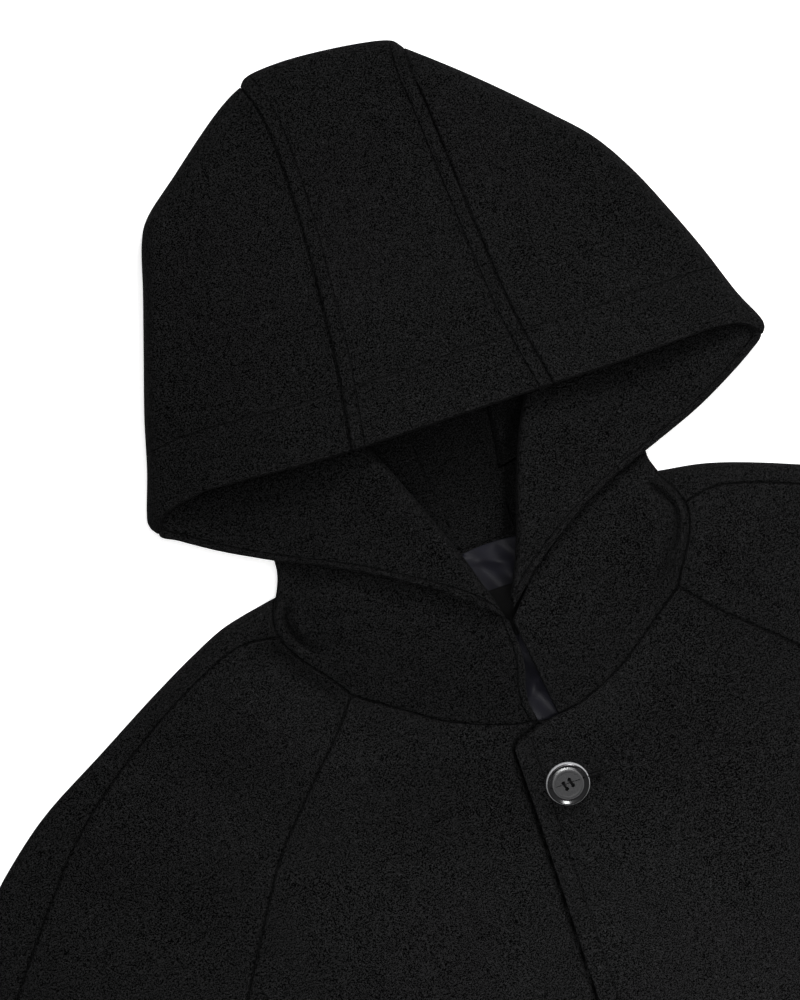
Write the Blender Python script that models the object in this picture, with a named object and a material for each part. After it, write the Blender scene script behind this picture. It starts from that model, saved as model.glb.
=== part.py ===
"""Hooded wool coat, laid out flat on its back with its hood open.

Left and right are the wearer's. +X points to the wearer's left, +Y from the hem to the hood and +Z up,
away from the surface that the coat lies on. The tables are in millimetres, and their y is counted from
the neck seam at the centre of the front. The origin is under the middle of the whole coat.
"""

import math

import bmesh
import bpy
import numpy as np
from mathutils import Matrix, Vector

MM = 0.001
MIDDLE_FROM_NECK = 288.75  # from the neck seam at the front down to the middle of the coat

CLOTH = 2.6  # melton and its lining
DOUBLE_CLOTH = 4.0  # the hood is the same melton twice
GAP = 0.3  # between pieces at a seam
AIR = 3.4  # between the front and the back where the coat lies flat
FLAT = 2 * CLOTH + AIR
OVERLAP = 22.0  # each front passes the centre of the front by this
STEP = CLOTH + 4 * GAP  # the upper front lies this much above the lower one
NECK_RISE = 10.5  # the cloth round the neck seam stands up by this
HOOD_FOLD = 14.0  # height of the fold round the hood's outline
BRIM_ARCH = 46.0  # the middle of the brim stands this much above its corners
ROLL_RADIUS = 9.0  # the hood's front edge turns over on about this
LINING = 1.0

BUTTON_RADIUS = 12.0
BUTTON_THICK = 4.2
BUTTON_HOLE = 1.0  # radius of each of its four holes
BUTTON_HOLES_OUT = 2.3  # from the middle of the button, in x and in y
BUTTON_FIRST = -37.0
BUTTON_SPACING = 155.0
BUTTON_COUNT = 4
BUTTONHOLE_LENGTH = 29.0
BUTTONHOLE_WIDTH = 1.6
BUTTONHOLE_END = 18.0  # its far end, from the middle of the button

# Rows of a sleeve from the neck to the cuff. front: front raglan seam, then underarm fold.
# edge: outer fold. back: back raglan seam, then underarm fold. over: overarm seam to outer fold.
SLEEVE_COLUMNS = ("front_x", "front_y", "edge_x", "edge_y", "back_x", "back_y", "over")
SLEEVE = (
    (91, 44, 105, 104, 66, 104, 21),
    (107, 25, 140, 96, 84, 72, 13),
    (133, 0, 185, 77, 106, 34, 11),
    (159, -27, 231, 55, 135, -12, 14),
    (181, -62, 270, 32, 166, -66, 21),
    (201, -97, 306, 2, 198, -124, 29),
    (221, -140, 348, -39, 228, -180, 36),
    (246, -197, 397, -88, 255, -222, 40),
    (283, -258, 445, -142, 283, -258, 41),
    (319, -303, 480, -190, 319, -303, 41),
    (355, -348, 513, -240, 355, -348, 40),
    (391, -392, 544, -290, 391, -392, 38),
    (427, -437, 575, -340, 427, -437, 36),
    (463, -482, 605, -391, 463, -482, 34),
    (499, -526, 635, -441, 499, -526, 32),
)
ARMPIT = 8  # row of the sleeve table at the armpit

# Rows of the body below the armpit: y on the front edge and on the middle of the back, then the side.
BODY_COLUMNS = ("front_y", "back_y", "side_x", "side_y")
BODY = (
    (-370, -335, 281, -330),
    (-440, -410, 284, -400),
    (-515, -490, 289, -475),
    (-600, -580, 295, -560),
    (-690, -675, 302, -655),
    (-780, -770, 310, -750),
    (-865, -860, 318, -845),
    (-950, -950, 326, -940),
)
FRONT_EDGE_Y = (-8, -40, -74, -108, -142, -178, -216, -256, -300)
BACK_MIDDLE_Y = (98.6, 66, 30, -10, -60, -110, -165, -212, -262)

# Neck seam across a front, from the centre of the front to the raglan seam.
NECK_SEAM = ((0, 0), (16, 2), (33.5, 8), (50.5, 16), (69.5, 29), (91, 44))
NECK_BULGE = 13.0  # the seam bows out by this between the raglan seam and the shoulder
NECK_MIDDLE = (-6.0, 52.0)

# The neck was laid down slightly askew: away from the centre, x moves by this much at each y.
ASKEW = ((-40, 0), (30, -3.5), (60, -5), (80, -8), (100, -11.5), (130, -8), (150, -3), (165, 0))

# The neck part: its edge on the neck seam, then its far edge under the hood.
NECK_COLUMNS = ("seam_x", "seam_y", "top_x", "top_y", "top_z")
NECK = (
    (5.5, 1, 1.8, 55, 36),
    (30, 7, 14, 70, 36.5),
    (50.5, 16, 27, 84, 35.5),
    (69.5, 29, 42, 98, 33),
    (85, 40, 57, 110, 30),
    (99.6, 57, 74, 121, 25.5),
    (110, 73, 88, 130, 20.5),
    (112.5, 88, 98.5, 138, 15),
    (108.7, 98, 105, 144, 9.5),
    (105, 104, 106.5, 147.5, 5.5),
    (97, 104, 102, 149, 1),
    (88, 104, 92, 147, 0),
    (66, 104, 66, 141, 0),
    (40, 101, 41, 135.5, 0),
    (15.6, 99, 18.6, 131.2, 0),
)

# Hood outline from each corner of its mouth to the gusset's seam at the top.
HOOD_RIGHT = (
    (-166, 160), (-163, 178), (-154, 208), (-145, 238), (-134, 272), (-123, 306),
    (-115, 321), (-98, 335), (-80, 348), (-66, 358), (-56, 364), (-49, 367),
)
HOOD_LEFT = (
    (171, 161), (159, 188), (147, 217), (136, 248), (122, 277), (105, 298),
    (88, 316), (72, 331), (60, 342), (52, 350), (46, 356), (42, 361),
)
GUSSET_TOP = ((-49, 367), (-38, 371), (-20, 372.5), (0, 372), (20, 369.5), (34, 366), (42, 361))

# Seams of the gusset on the wearer's right and left, from the brim over the crown to the top fold.
CROWN_RIGHT = ((-54, 166), (-47.5, 209), (-44, 250), (-41.5, 290), (-41.5, 330), (-44, 352), (-49, 367))
CROWN_LEFT = ((57, 166), (49.5, 209), (46, 250), (43.5, 290), (41, 330), (40.5, 348), (42, 361))
# The same seams beneath, from the back of the neck to the top fold.
UNDER_RIGHT = ((-15.1, 99.4), (-20, 131.4), (-22, 156), (-27, 235), (-33, 300), (-41, 345), (-49, 367))
UNDER_LEFT = ((15.1, 99.4), (16.3, 131.4), (20, 156), (27, 235), (33, 300), (39, 342), (42, 361))
# Lower edge of a hood side beneath, from the corner of the mouth to the gusset.
HOOD_FOOT = ((18, 132.5), (40, 137), (66, 142.5), (92, 148.5), (103, 151), (170, 160))

# Facing of the hood's front edge, from the centre of the front to inside the corner of the mouth.
# brim: its free edge. roll: where it turns over. foot: where it ends inside the hood.
FACING_COLUMNS = (
    "brim_x", "brim_y", "brim_z", "roll_x", "roll_y", "roll_z", "foot_x", "foot_y", "foot_z",
)
FACING_RIGHT = (
    (-2.5, 57, 41, -5, 68, 44, -4.5, 71, 18),
    (-14, 66, 43, -9, 77, 46, -7, 80, 17),
    (-33, 81, 43, -15, 94, 47.5, -11, 96, 16),
    (-61, 99, 38.5, -24, 117, 48, -17, 118, 10),
    (-85, 112, 32, -32, 137, 47.5, -24, 138, 6),
    (-109, 124, 24.5, -41, 158, 46, -32, 158, 6),
    (-135, 138, 15.5, -53, 180, 40, -42, 181, 6.6),
    (-152, 150, 10.5, -72, 205, 27, -55, 209, 8.4),
    (-157, 166, 8.5, -95, 227, 14, -75, 237, 8.8),
    (-153, 183, 8.4, -118, 236, 8.4, -96, 262, 8.4),
)
FACING_LEFT = (
    (1.5, 61, 42.5, 1.5, 69, 45, 2.5, 72, 18),
    (12, 71, 44, 8, 82, 47, 7, 85, 17),
    (30, 85, 43.5, 14.5, 99, 48.5, 12, 101, 16),
    (57, 102, 38.5, 21.5, 120, 49, 16.5, 121, 10),
    (79, 112, 33, 29, 140, 48.5, 23, 141, 6),
    (101, 121, 26, 38.5, 160, 47, 31, 161, 6),
    (131, 132, 16.5, 51, 182, 40.5, 41, 183, 6.6),
    (155, 146, 10.5, 71, 206, 27, 54, 209, 8.4),
    (160, 163, 8.5, 94, 227, 14, 75, 237, 8.8),
    (151, 183, 8.4, 116, 235, 8.4, 96, 262, 8.4),
)

# Soft folds in the upper layer: two ends, height (troughs are negative) and half width.
FOLD_COLUMNS = ("x0", "y0", "x1", "y1", "height", "width")
FOLDS = (
    (-128, 62, -100, 26, -4.0, 20),
    (150, 40, 108, 8, -3.0, 17),
    (128, 16, 176, -30, 1.6, 15),
    (-205, -150, -262, -225, 2.4, 18),
    (205, -135, 264, -228, 2.6, 19),
    (-330, -130, -290, -240, 2.2, 20),
    (338, -150, 296, -238, 2.0, 19),
    (-452, -300, -520, -392, 2.0, 20),
    (446, -286, 508, -372, 2.4, 22),
    (-180, -420, -205, -900, 3.0, 38),
    (-75, -560, -90, -940, 2.4, 34),
    (120, -470, 140, -930, 3.2, 36),
    (235, -380, 262, -880, 2.4, 32),
)


def spline(table, at):
    """Values between the rows of a table, on a smooth curve through them. at counts rows from 0."""
    rows = np.asarray(table, float)
    last = len(rows) - 1
    at = np.clip(np.asarray(at, float), 0, last)
    i = np.minimum(at.astype(int), last - 1)
    t = (at - i)[:, None]
    before, a, b, after = (rows[np.clip(i + k, 0, last)] for k in (-1, 0, 1, 2))
    before = np.where((i == 0)[:, None], 2 * a - b, before)
    after = np.where((i == last - 1)[:, None], 2 * b - a, after)
    return 0.5 * (
        2 * a
        + (b - before) * t
        + (2 * before - 5 * a + 4 * b - after) * t**2
        + (3 * a - before - 3 * b + after) * t**3
    )


def finer(table, step):
    """The rows of a table with more between them."""
    last = len(table) - 1
    return spline(table, np.linspace(0, last, int(round(last / step)) + 1))


# Sleeve and body rows are twice as close above the armpit.
ROW_AT = [i / 2 for i in range(2 * ARMPIT + 1)]
SLEEVE_ROWS = spline(SLEEVE, ROW_AT + list(range(ARMPIT + 1, len(SLEEVE))))
FRONT_EDGE_ROWS = spline([[y] for y in FRONT_EDGE_Y], ROW_AT)[:, 0]
BACK_MIDDLE_ROWS = spline([[y] for y in BACK_MIDDLE_Y], ROW_AT)[:, 0]
ARMPIT_ROW = len(ROW_AT) - 1
BODY_ROWS = np.array(BODY, float)


def distance(x, y, line):
    """Distance in plan from each point to a line of points."""
    line = np.asarray(line, float)
    a, b = line[:-1], line[1:]
    p = np.stack([np.ravel(x), np.ravel(y)], axis=1)[:, None, :]
    along = b - a
    t = np.clip(((p - a) * along).sum(2) / (along**2).sum(1), 0, 1)
    gap = np.linalg.norm(p - (a + t[..., None] * along), axis=2).min(1)
    return gap.reshape(np.shape(x))


def smooth(t):
    """0 to 1 with level ends."""
    t = np.clip(t, 0, 1)
    return t * t * (3 - 2 * t)


def shifted(plan, side):
    """Plan points of the wearer's left put on the given side, and askew near the neck."""
    x, y = side * plan[:, 0], plan[:, 1]
    table = np.array(ASKEW, float)
    share = smooth((260 - np.abs(x)) / 130) * smooth(np.abs(x) / 60)
    return np.stack([x + np.interp(y, table[:, 0], table[:, 1]) * share, y], axis=1)


def both_sides(line):
    """A line on the wearer's left and the same on the right."""
    return [shifted(line, 1), shifted(line, -1)]


SHOULDER_LINES = both_sides(SLEEVE_ROWS[:, 2:4])
SIDE_LINES = both_sides(np.concatenate([SLEEVE_ROWS[ARMPIT_ROW:, 0:2][::-1], BODY_ROWS[:, 2:4]]))
HOOD_LINE = np.concatenate(
    [finer(HOOD_RIGHT, 0.5), finer(GUSSET_TOP, 0.5)[1:-1], finer(HOOD_LEFT, 0.5)[::-1]]
)


# Rows of the hood between its brim and the fold at its top, closer together where the cloth turns.
HOOD_SHARES = np.concatenate([np.linspace(0, 0.965, 9), [0.981, 0.9935, 1.0]])


def round_over(away, reach):
    """0 at a fold and 1 from reach inwards, as a quarter circle."""
    t = 1 - np.clip(away / reach, 0, 1)
    return np.sqrt(np.maximum(1 - t * t, 0))


def fold_relief(x, y):
    """Height of the soft folds."""
    total = np.zeros(np.shape(x))
    for x0, y0, x1, y1, height, width in FOLDS:
        away = distance(x, y, [(x0, y0), (x1, y1)])
        total = total + height * np.exp(-((away / width) ** 2))
    return total


def edge_distance(x, y):
    """Distance to the nearest fold round the sleeves and the body."""
    return np.min([distance(x, y, line) for line in SHOULDER_LINES + SIDE_LINES], axis=0)


def coat_top(x, y):
    """Height of the upper layer's outer surface."""
    oval = np.sqrt(((x - NECK_MIDDLE[0]) / 110) ** 2 + ((y - NECK_MIDDLE[1]) / 56) ** 2)
    rise = NECK_RISE * np.exp(-((np.maximum(oval - 1, 0) / 0.62) ** 2))
    middle = FLAT / 2 + GAP / 2
    height = FLAT + rise + fold_relief(x, y)
    return middle + (height - middle) * round_over(edge_distance(x, y), height / 2)


def coat_bottom(x, y):
    """Height of the lower layer's outer surface, 0 where it lies on the floor."""
    middle = FLAT / 2 - GAP / 2
    return middle * (1 - round_over(edge_distance(x, y), FLAT / 2))


def front_lift(x):
    """The upper front's height above the layer beneath, from its edge to past the overlap."""
    return STEP * (1 - smooth((x - OVERLAP - 3) / 55))


def hood_top(x, y):
    """Height of the hood's crown."""
    back = np.clip((372 - y) / 206, 0, 1.05) ** 1.2
    across = 1 - np.clip(np.abs(x - 2) / 168, 0, 1) ** 2.2
    middle = HOOD_FOLD / 2
    rise = round_over(distance(x, y, HOOD_LINE), middle)
    return middle + (HOOD_FOLD - middle + BRIM_ARCH * back * across) * rise


def hood_floor(x, y):
    """Height of the hood's lower layer, 0 where it lies on the floor."""
    return HOOD_FOLD / 2 * (1 - round_over(distance(x, y, HOOD_LINE), HOOD_FOLD / 2))


def section(start, end, count, reach, fold_start=False, fold_end=False):
    """Plan points from start to end, closer together at an end that lies on a fold."""
    start, end = np.asarray(start, float), np.asarray(end, float)
    length = max(np.linalg.norm(end - start), 1e-6)
    near = min(reach, 0.42 * length) * (1 - np.cos(np.radians([0, 36, 66, 90]))) / length
    low = near if fold_start else np.zeros(1)
    high = 1 - near[::-1] if fold_end else np.ones(1)
    middle = np.linspace(low[-1], high[0], count - len(low) - len(high) + 2)[1:-1]
    return start + (end - start) * np.concatenate([low, middle, high])[:, None]


def pulled_in(points, first, last):
    """A section with its two ends moved inwards, which leaves the gaps at its seams."""
    points = points.copy()
    for end, other, gap in ((0, 1, first), (-1, -2, last)):
        along = points[other] - points[end]
        points[end] = points[end] + along / np.linalg.norm(along) * gap
    return points


def seam_gap(row):
    """How far a body or sleeve section stops short of the seam or fold at its far end."""
    if row > ARMPIT_ROW:
        return 0
    return GAP / 2 if row < ARMPIT_ROW - 1 else 1.3 * GAP


def bowed(points, start, edge, row):
    """Points of a sleeve section pushed out to the neck seam, less and less away from the neck."""
    t = np.linalg.norm(points - start, axis=1) / np.linalg.norm(edge - start)
    share = max(0.0, 1 - ROW_AT[min(row, ARMPIT_ROW)] / 2.6) ** 2
    return points + np.outer(NECK_BULGE * share * np.sin(np.pi * np.clip(t, 0, 1) ** 1.3), (1, 0))


def off_neck(points, row):
    """The neck row of a sleeve moved off the neck seam by the gap."""
    return points + ((GAP, -GAP / 2) if row == 0 else (0, 0))


def front_grid(side):
    """Points of a front from its free edge to the raglan seam or the side. The left one is on top."""
    outer = np.concatenate([SLEEVE_ROWS[: ARMPIT_ROW + 1, 0:2], BODY_ROWS[:, 2:4]])
    inner = np.concatenate([FRONT_EDGE_ROWS, BODY_ROWS[:, 0]])
    seam = np.array([(-OVERLAP, -0.35 * OVERLAP)] + list(NECK_SEAM), float)
    plan = []
    for i, (end, edge_y) in enumerate(zip(outer, inner)):
        start = np.array([-OVERLAP, edge_y])
        on_fold = i >= ARMPIT_ROW
        points = section(start, end, 12, FLAT / 2, fold_end=on_fold)
        t = (points[:, 0] - start[0]) / (end[0] - start[0])
        across = seam[0] + (seam[-1] - seam[0]) * t[:, None]
        bend = np.interp(across[:, 0], seam[:, 0], seam[:, 1]) - across[:, 1]
        points[:, 1] += bend * max(0.0, 1 - ROW_AT[min(i, ARMPIT_ROW)] / 3.2) ** 2
        points = pulled_in(points, 0, seam_gap(i))
        plan.append(shifted(points - (0, GAP if i == 0 else 0), side))
    x, y = np.moveaxis(np.array(plan), 2, 0)
    z = coat_top(x, y) + (front_lift(x) if side > 0 else 0)
    return np.stack([x, y, z], axis=2)


def back_grid():
    """Points of the back, from the wearer's right to the left."""
    outer = np.concatenate([SLEEVE_ROWS[: ARMPIT_ROW + 1, 4:6], BODY_ROWS[:, 2:4]])
    middle = np.concatenate([BACK_MIDDLE_ROWS, BODY_ROWS[:, 1]])
    plan = []
    for i, (end, middle_y) in enumerate(zip(outer, middle)):
        on_fold = i >= ARMPIT_ROW
        half = section((0, middle_y), end, 8, FLAT / 2, fold_end=on_fold)
        half[:, 1] = middle_y + (end[1] - middle_y) * (half[:, 0] / end[0]) ** 1.6
        half = pulled_in(half, 0, seam_gap(i))
        plan.append(np.concatenate([shifted(half, -1)[:0:-1], shifted(half, 1)]))
    x, y = np.moveaxis(np.array(plan), 2, 0)
    return np.stack([x, y, coat_bottom(x, y)], axis=2)


def sleeve_front_grid(side):
    """Points of a sleeve's front half, from the overarm seam to the raglan seam or the underarm fold."""
    plan = []
    for i, row in enumerate(SLEEVE_ROWS):
        start, edge = row[0:2], row[2:4]
        on_fold = i >= ARMPIT_ROW
        seam = edge + (start - edge) * row[6] / np.linalg.norm(start - edge)
        points = bowed(section(seam, start, 8, FLAT / 2, fold_end=on_fold), start, edge, i)
        points = pulled_in(points, GAP / 2, seam_gap(i))
        plan.append(shifted(off_neck(points, i), side))
    x, y = np.moveaxis(np.array(plan), 2, 0)
    return np.stack([x, y, coat_top(x, y)], axis=2)


def sleeve_back_grid(side):
    """Points of a sleeve's back half, from the overarm seam round the outer fold to the seam beneath."""
    rows = []
    for i, row in enumerate(SLEEVE_ROWS):
        start, edge, back_end = row[0:2], row[2:4], row[4:6]
        on_fold = i >= ARMPIT_ROW
        seam = edge + (start - edge) * row[6] / np.linalg.norm(start - edge)
        upper = bowed(section(seam, edge, 5, 2 * FLAT, fold_end=True), start, edge, i)
        upper = shifted(off_neck(pulled_in(upper, GAP / 2, 0), i), side)
        lower = section(edge, back_end, 9, FLAT / 2, fold_start=True, fold_end=on_fold)
        lower = shifted(off_neck(pulled_in(lower, 0, seam_gap(i)), i), side)[1:]
        height = np.concatenate([coat_top(*upper.T)[:-1], [FLAT / 2], coat_bottom(*lower.T)])
        rows.append(np.column_stack([np.concatenate([upper, lower]), height]))
    return np.array(rows)


def neck_grid(side):
    """Points of the neck, whose rows run from the neck seam to its far edge under the hood."""
    front, back = front_grid(side)[0], back_grid()[0]
    ends = []
    for row, x in ((front, NECK[0][0]), (back, NECK[-1][0])):
        row = row[np.argsort(side * row[:, 0])]
        ends.append([side * x] + [np.interp(x, side * row[:, 0], row[:, k]) for k in (1, 2)])
    front = front[side * front[:, 0] > NECK[0][0] + 3]
    back = back[side * back[:, 0] > NECK[-1][0] + 3]
    back = back[np.argsort(-side * back[:, 0])]
    sleeve = np.concatenate([sleeve_front_grid(side)[0][::-1], sleeve_back_grid(side)[0]])
    seam = np.concatenate([ends[:1], front, sleeve, back, ends[1:]])
    keep = np.linalg.norm(np.diff(seam, axis=0), axis=1) > 1.2
    seam = seam[np.concatenate([[True], keep])]
    place = np.concatenate([[0], np.cumsum(np.linalg.norm(np.diff(seam, axis=0), axis=1))])
    table = np.array(NECK, float)
    table_seam = shifted(table[:, 0:2], side)
    key = []
    for i, point in enumerate(table_seam):
        lower = table[i, 4] < 2 and i > 5
        away = np.linalg.norm(seam[:, :2] - point, axis=1) + 200 * ((seam[:, 2] < 1) != lower)
        key.append(place[np.argmin(away)])
    order = np.argsort(key)
    top_plan = shifted(table[:, 2:4], side)
    top = [np.interp(place, np.array(key)[order], column[order]) for column in top_plan.T]
    top.append(np.interp(place, np.array(key)[order], table[order, 4]))
    top = np.stack(top, axis=1)
    toward = top[:, :2] - seam[:, :2]
    toward = toward / np.linalg.norm(toward, axis=1, keepdims=True)
    seam[:, :2] += toward * 1.5 * GAP
    t = np.linspace(0, 1, 5)[:, None, None]
    swell = np.minimum(seam[:, 2], 18)[:, None] / 18 * np.array([0, 0, 3.0])
    return np.moveaxis(seam + (top - seam) * t + swell * np.sin(np.pi * t), 0, 1)


def hood_grid(outline, crown, under):
    """Points of a hood side, from the gusset over the crown and round the fold to the gusset beneath."""
    foot = np.array(HOOD_FOOT, float)
    shares = HOOD_SHARES[:-3]
    edges = spline(outline, shares * (len(outline) - 1))
    starts = spline(crown, shares * (len(crown) - 1))
    ends = spline(under[1:], shares * (len(under) - 2))
    outward = GAP * np.sign(outline[0][0]) * (1 + 4 * shares**8)
    rows = []
    for i, (start, edge, end) in enumerate(zip(starts, edges, ends)):
        upper = section(start + (outward[i], 0), edge, 8, HOOD_FOLD / 2, fold_end=True)
        lower = section(edge, end + (outward[i], 0), 9, HOOD_FOLD / 2, fold_start=True)
        t = (lower[:, 0] - edge[0]) / (end[0] - edge[0])
        across = edges[0] + (ends[0] - edges[0]) * t[:, None]
        bend = np.interp(np.abs(across[:, 0]), foot[:, 0], foot[:, 1]) - across[:, 1]
        lower[:, 1] += bend * max(0.0, 1 - i / 4) ** 2
        height = np.concatenate(
            [hood_top(*upper.T)[:-1], [HOOD_FOLD / 2], hood_floor(*lower[1:].T)]
        )
        rows.append(np.column_stack([np.concatenate([upper, lower[1:]]), height]))
    return np.array(rows)


def gusset_grid():
    """Points of the gusset, whose rows run from the brim over the top to the back of the neck."""
    shares = HOOD_SHARES
    top = finer(GUSSET_TOP, 0.5)
    sides = []
    for crown, under in ((CROWN_RIGHT, UNDER_RIGHT), (CROWN_LEFT, UNDER_LEFT)):
        over = spline(crown, shares * (len(crown) - 1))
        below = spline(under[1:], shares * (len(under) - 2))[::-1]
        neck = spline(under[:2], [0.5, 0])
        sides.append(np.concatenate([over, below[1:], neck]))
    fold = len(shares) - 1
    around = np.concatenate([shares, shares[::-1][1:], [0, 0]])
    near = smooth(around * 4 - 3)[:, None]
    inset = np.outer(3.2 * around**8, (1, 0))
    rows = []
    for share in np.linspace(0, 1, 7):
        plan = sides[0] + (sides[1] - sides[0]) * share
        plan = plan + (top[int(round(share * (len(top) - 1)))] - plan[fold]) * near
        plan = plan + inset * (1 - 2 * share)
        height = hood_top(*plan.T)
        height[fold] = HOOD_FOLD / 2
        height[fold + 1 :] = hood_floor(*plan[fold + 1 :].T)
        rows.append(np.column_stack([plan, height]))
    return np.array(rows)


def facing_grid(table):
    """Points of a turned-out facing, whose rows run from its free edge over the roll to its foot."""
    rows = []
    for row in finer(table, 0.5):
        brim, roll, foot = row[0:3], row[3:6], row[6:9]
        points = []
        into, out = brim - roll, foot - roll
        before = roll + into * min(0.6, ROLL_RADIUS / np.linalg.norm(into))
        after = roll + out * min(0.6, ROLL_RADIUS / np.linalg.norm(out))
        for t in (0, 0.33, 0.67):
            points.append(brim + (before - brim) * t)
        for t in (0, 0.25, 0.5, 0.75, 1):
            points.append(before * (1 - t) ** 2 + 2 * roll * t * (1 - t) + after * t * t)
        points.append(after + (foot - after) * 0.5)
        points.append(foot)
        rows.append(points)
    return np.array(rows)


def wall(name, grid, thickness, material, facing_up=(0, True), level=None, seams=()):
    """One closed wall of cloth. grid holds its outer surface, as rows of points in millimetres.

    facing_up says whether the outer surface faces up at that column. level marks the points in the
    middle of a fold, where the wall's end has to lie level. seams lists the columns on the coat's upper
    layer that meet another piece, where both walls end square to the same surface.
    """
    normals = np.cross(np.gradient(grid, axis=0), np.gradient(grid, axis=1))
    normals /= np.maximum(np.linalg.norm(normals, axis=2, keepdims=True), 1e-9)
    column, up = facing_up
    sign = np.sign(normals[:, column, 2].mean())
    for seam in seams:
        x, y = grid[:, seam, 0], grid[:, seam, 1]
        slope_x = (coat_top(x + 2, y) - coat_top(x - 2, y)) / 4
        slope_y = (coat_top(x, y + 2) - coat_top(x, y - 2)) / 4
        square = np.stack([-slope_x, -slope_y, np.ones(len(x))], axis=1)
        normals[:, seam] = sign * square / np.linalg.norm(square, axis=1, keepdims=True)
    if (normals[:, column, 2].mean() > 0) != up:
        grid, normals = grid[::-1], -normals[::-1]
        level = level[::-1] if level is not None else None
    if level is not None:
        flat = normals * (1, 1, 0)
        flat /= np.maximum(np.linalg.norm(flat, axis=2, keepdims=True), 1e-9)
        normals = np.where(level[..., None], flat, normals)
    rows, columns = grid.shape[:2]
    mesh = bmesh.new()
    outer = [[mesh.verts.new(p) for p in row] for row in placed(grid)]
    inner = [[mesh.verts.new(p) for p in row] for row in placed(grid - normals * thickness)]
    for i in range(rows - 1):
        for j in range(columns - 1):
            corners = ((i, j), (i + 1, j), (i + 1, j + 1), (i, j + 1))
            mesh.faces.new([outer[a][b] for a, b in corners])
            mesh.faces.new([inner[a][b] for a, b in reversed(corners)])
    rim = [(i, 0) for i in range(rows)] + [(rows - 1, j) for j in range(1, columns)]
    rim += [(i, columns - 1) for i in range(rows - 2, -1, -1)]
    rim += [(0, j) for j in range(columns - 2, 0, -1)]
    for (a, b), (c, d) in zip(rim, rim[1:] + rim[:1]):
        mesh.faces.new((outer[c][d], outer[a][b], inner[a][b], inner[c][d]))
    return add(name, mesh, material)


def placed(points):
    """Points of the tables, in metres and in the coat's own frame."""
    return (np.asarray(points, float) + (0, MIDDLE_FROM_NECK, 0)) * MM


def add(name, mesh, material, collection=None):
    """A named object made from the mesh, in the coat's collection unless another is given."""
    data = bpy.data.meshes.new(name)
    mesh.to_mesh(data)
    mesh.free()
    data.shade_smooth()
    data.set_sharp_from_angle(angle=math.radians(50))
    if material is not None:
        data.materials.append(material)
    made = bpy.data.objects.new(name, data)
    (collection or COAT).objects.link(made)
    return made


def fold_marks(grid, *columns):
    """Marks for wall: the given columns lie on a fold below the armpit."""
    marks = np.zeros(grid.shape[:2], bool)
    for column in columns:
        marks[ARMPIT_ROW:, column] = True
    return marks


def lathed(rings, segments=20):
    """A closed round mesh from (radius, height) pairs in millimetres, from the bottom to the top."""
    mesh = bmesh.new()
    turns = [2 * math.pi * k / segments for k in range(segments)]
    circles = [
        [mesh.verts.new((r * math.cos(a) * MM, r * math.sin(a) * MM, z * MM)) for a in turns]
        for r, z in rings
    ]
    for lower, upper in zip(circles, circles[1:]):
        for k in range(segments):
            n = (k + 1) % segments
            mesh.faces.new((lower[k], lower[n], upper[n], upper[k]))
    mesh.faces.new(circles[0][::-1])
    mesh.faces.new(circles[-1])
    return mesh


def cutter(name, pieces):
    """A hidden mesh that cuts, made of boxes or rods given as (matrix, sides)."""
    mesh = bmesh.new()
    for matrix, sides in pieces:
        if sides == 4:
            bmesh.ops.create_cube(mesh, size=1, matrix=matrix)
        else:
            bmesh.ops.create_cone(
                mesh, cap_ends=True, segments=sides, radius1=1, radius2=1, depth=1, matrix=matrix
            )
    made = add(name, mesh, None, CUTTERS)
    made.hide_render = True
    made.display_type = "WIRE"
    return made


def cut(target, tool):
    """Take the cutter out of the target."""
    boolean = target.modifiers.new("cut", "BOOLEAN")
    boolean.operation = "DIFFERENCE"
    boolean.solver = "EXACT"
    boolean.object = tool


def material(name, colour, roughness, sheen=0.0):
    """A plain material."""
    made = bpy.data.materials.new(name)
    made.use_nodes = True
    shader = made.node_tree.nodes["Principled BSDF"]
    shader.inputs["Base Color"].default_value = (*colour, 1)
    shader.inputs["Roughness"].default_value = roughness
    shader.inputs["Sheen Weight"].default_value = sheen
    return made


def front_surface(x, y):
    """Height of the upper front near its edge."""
    x, y = np.array([x], float), np.array([y], float)
    return float((coat_top(x, y) + front_lift(x))[0])


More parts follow.
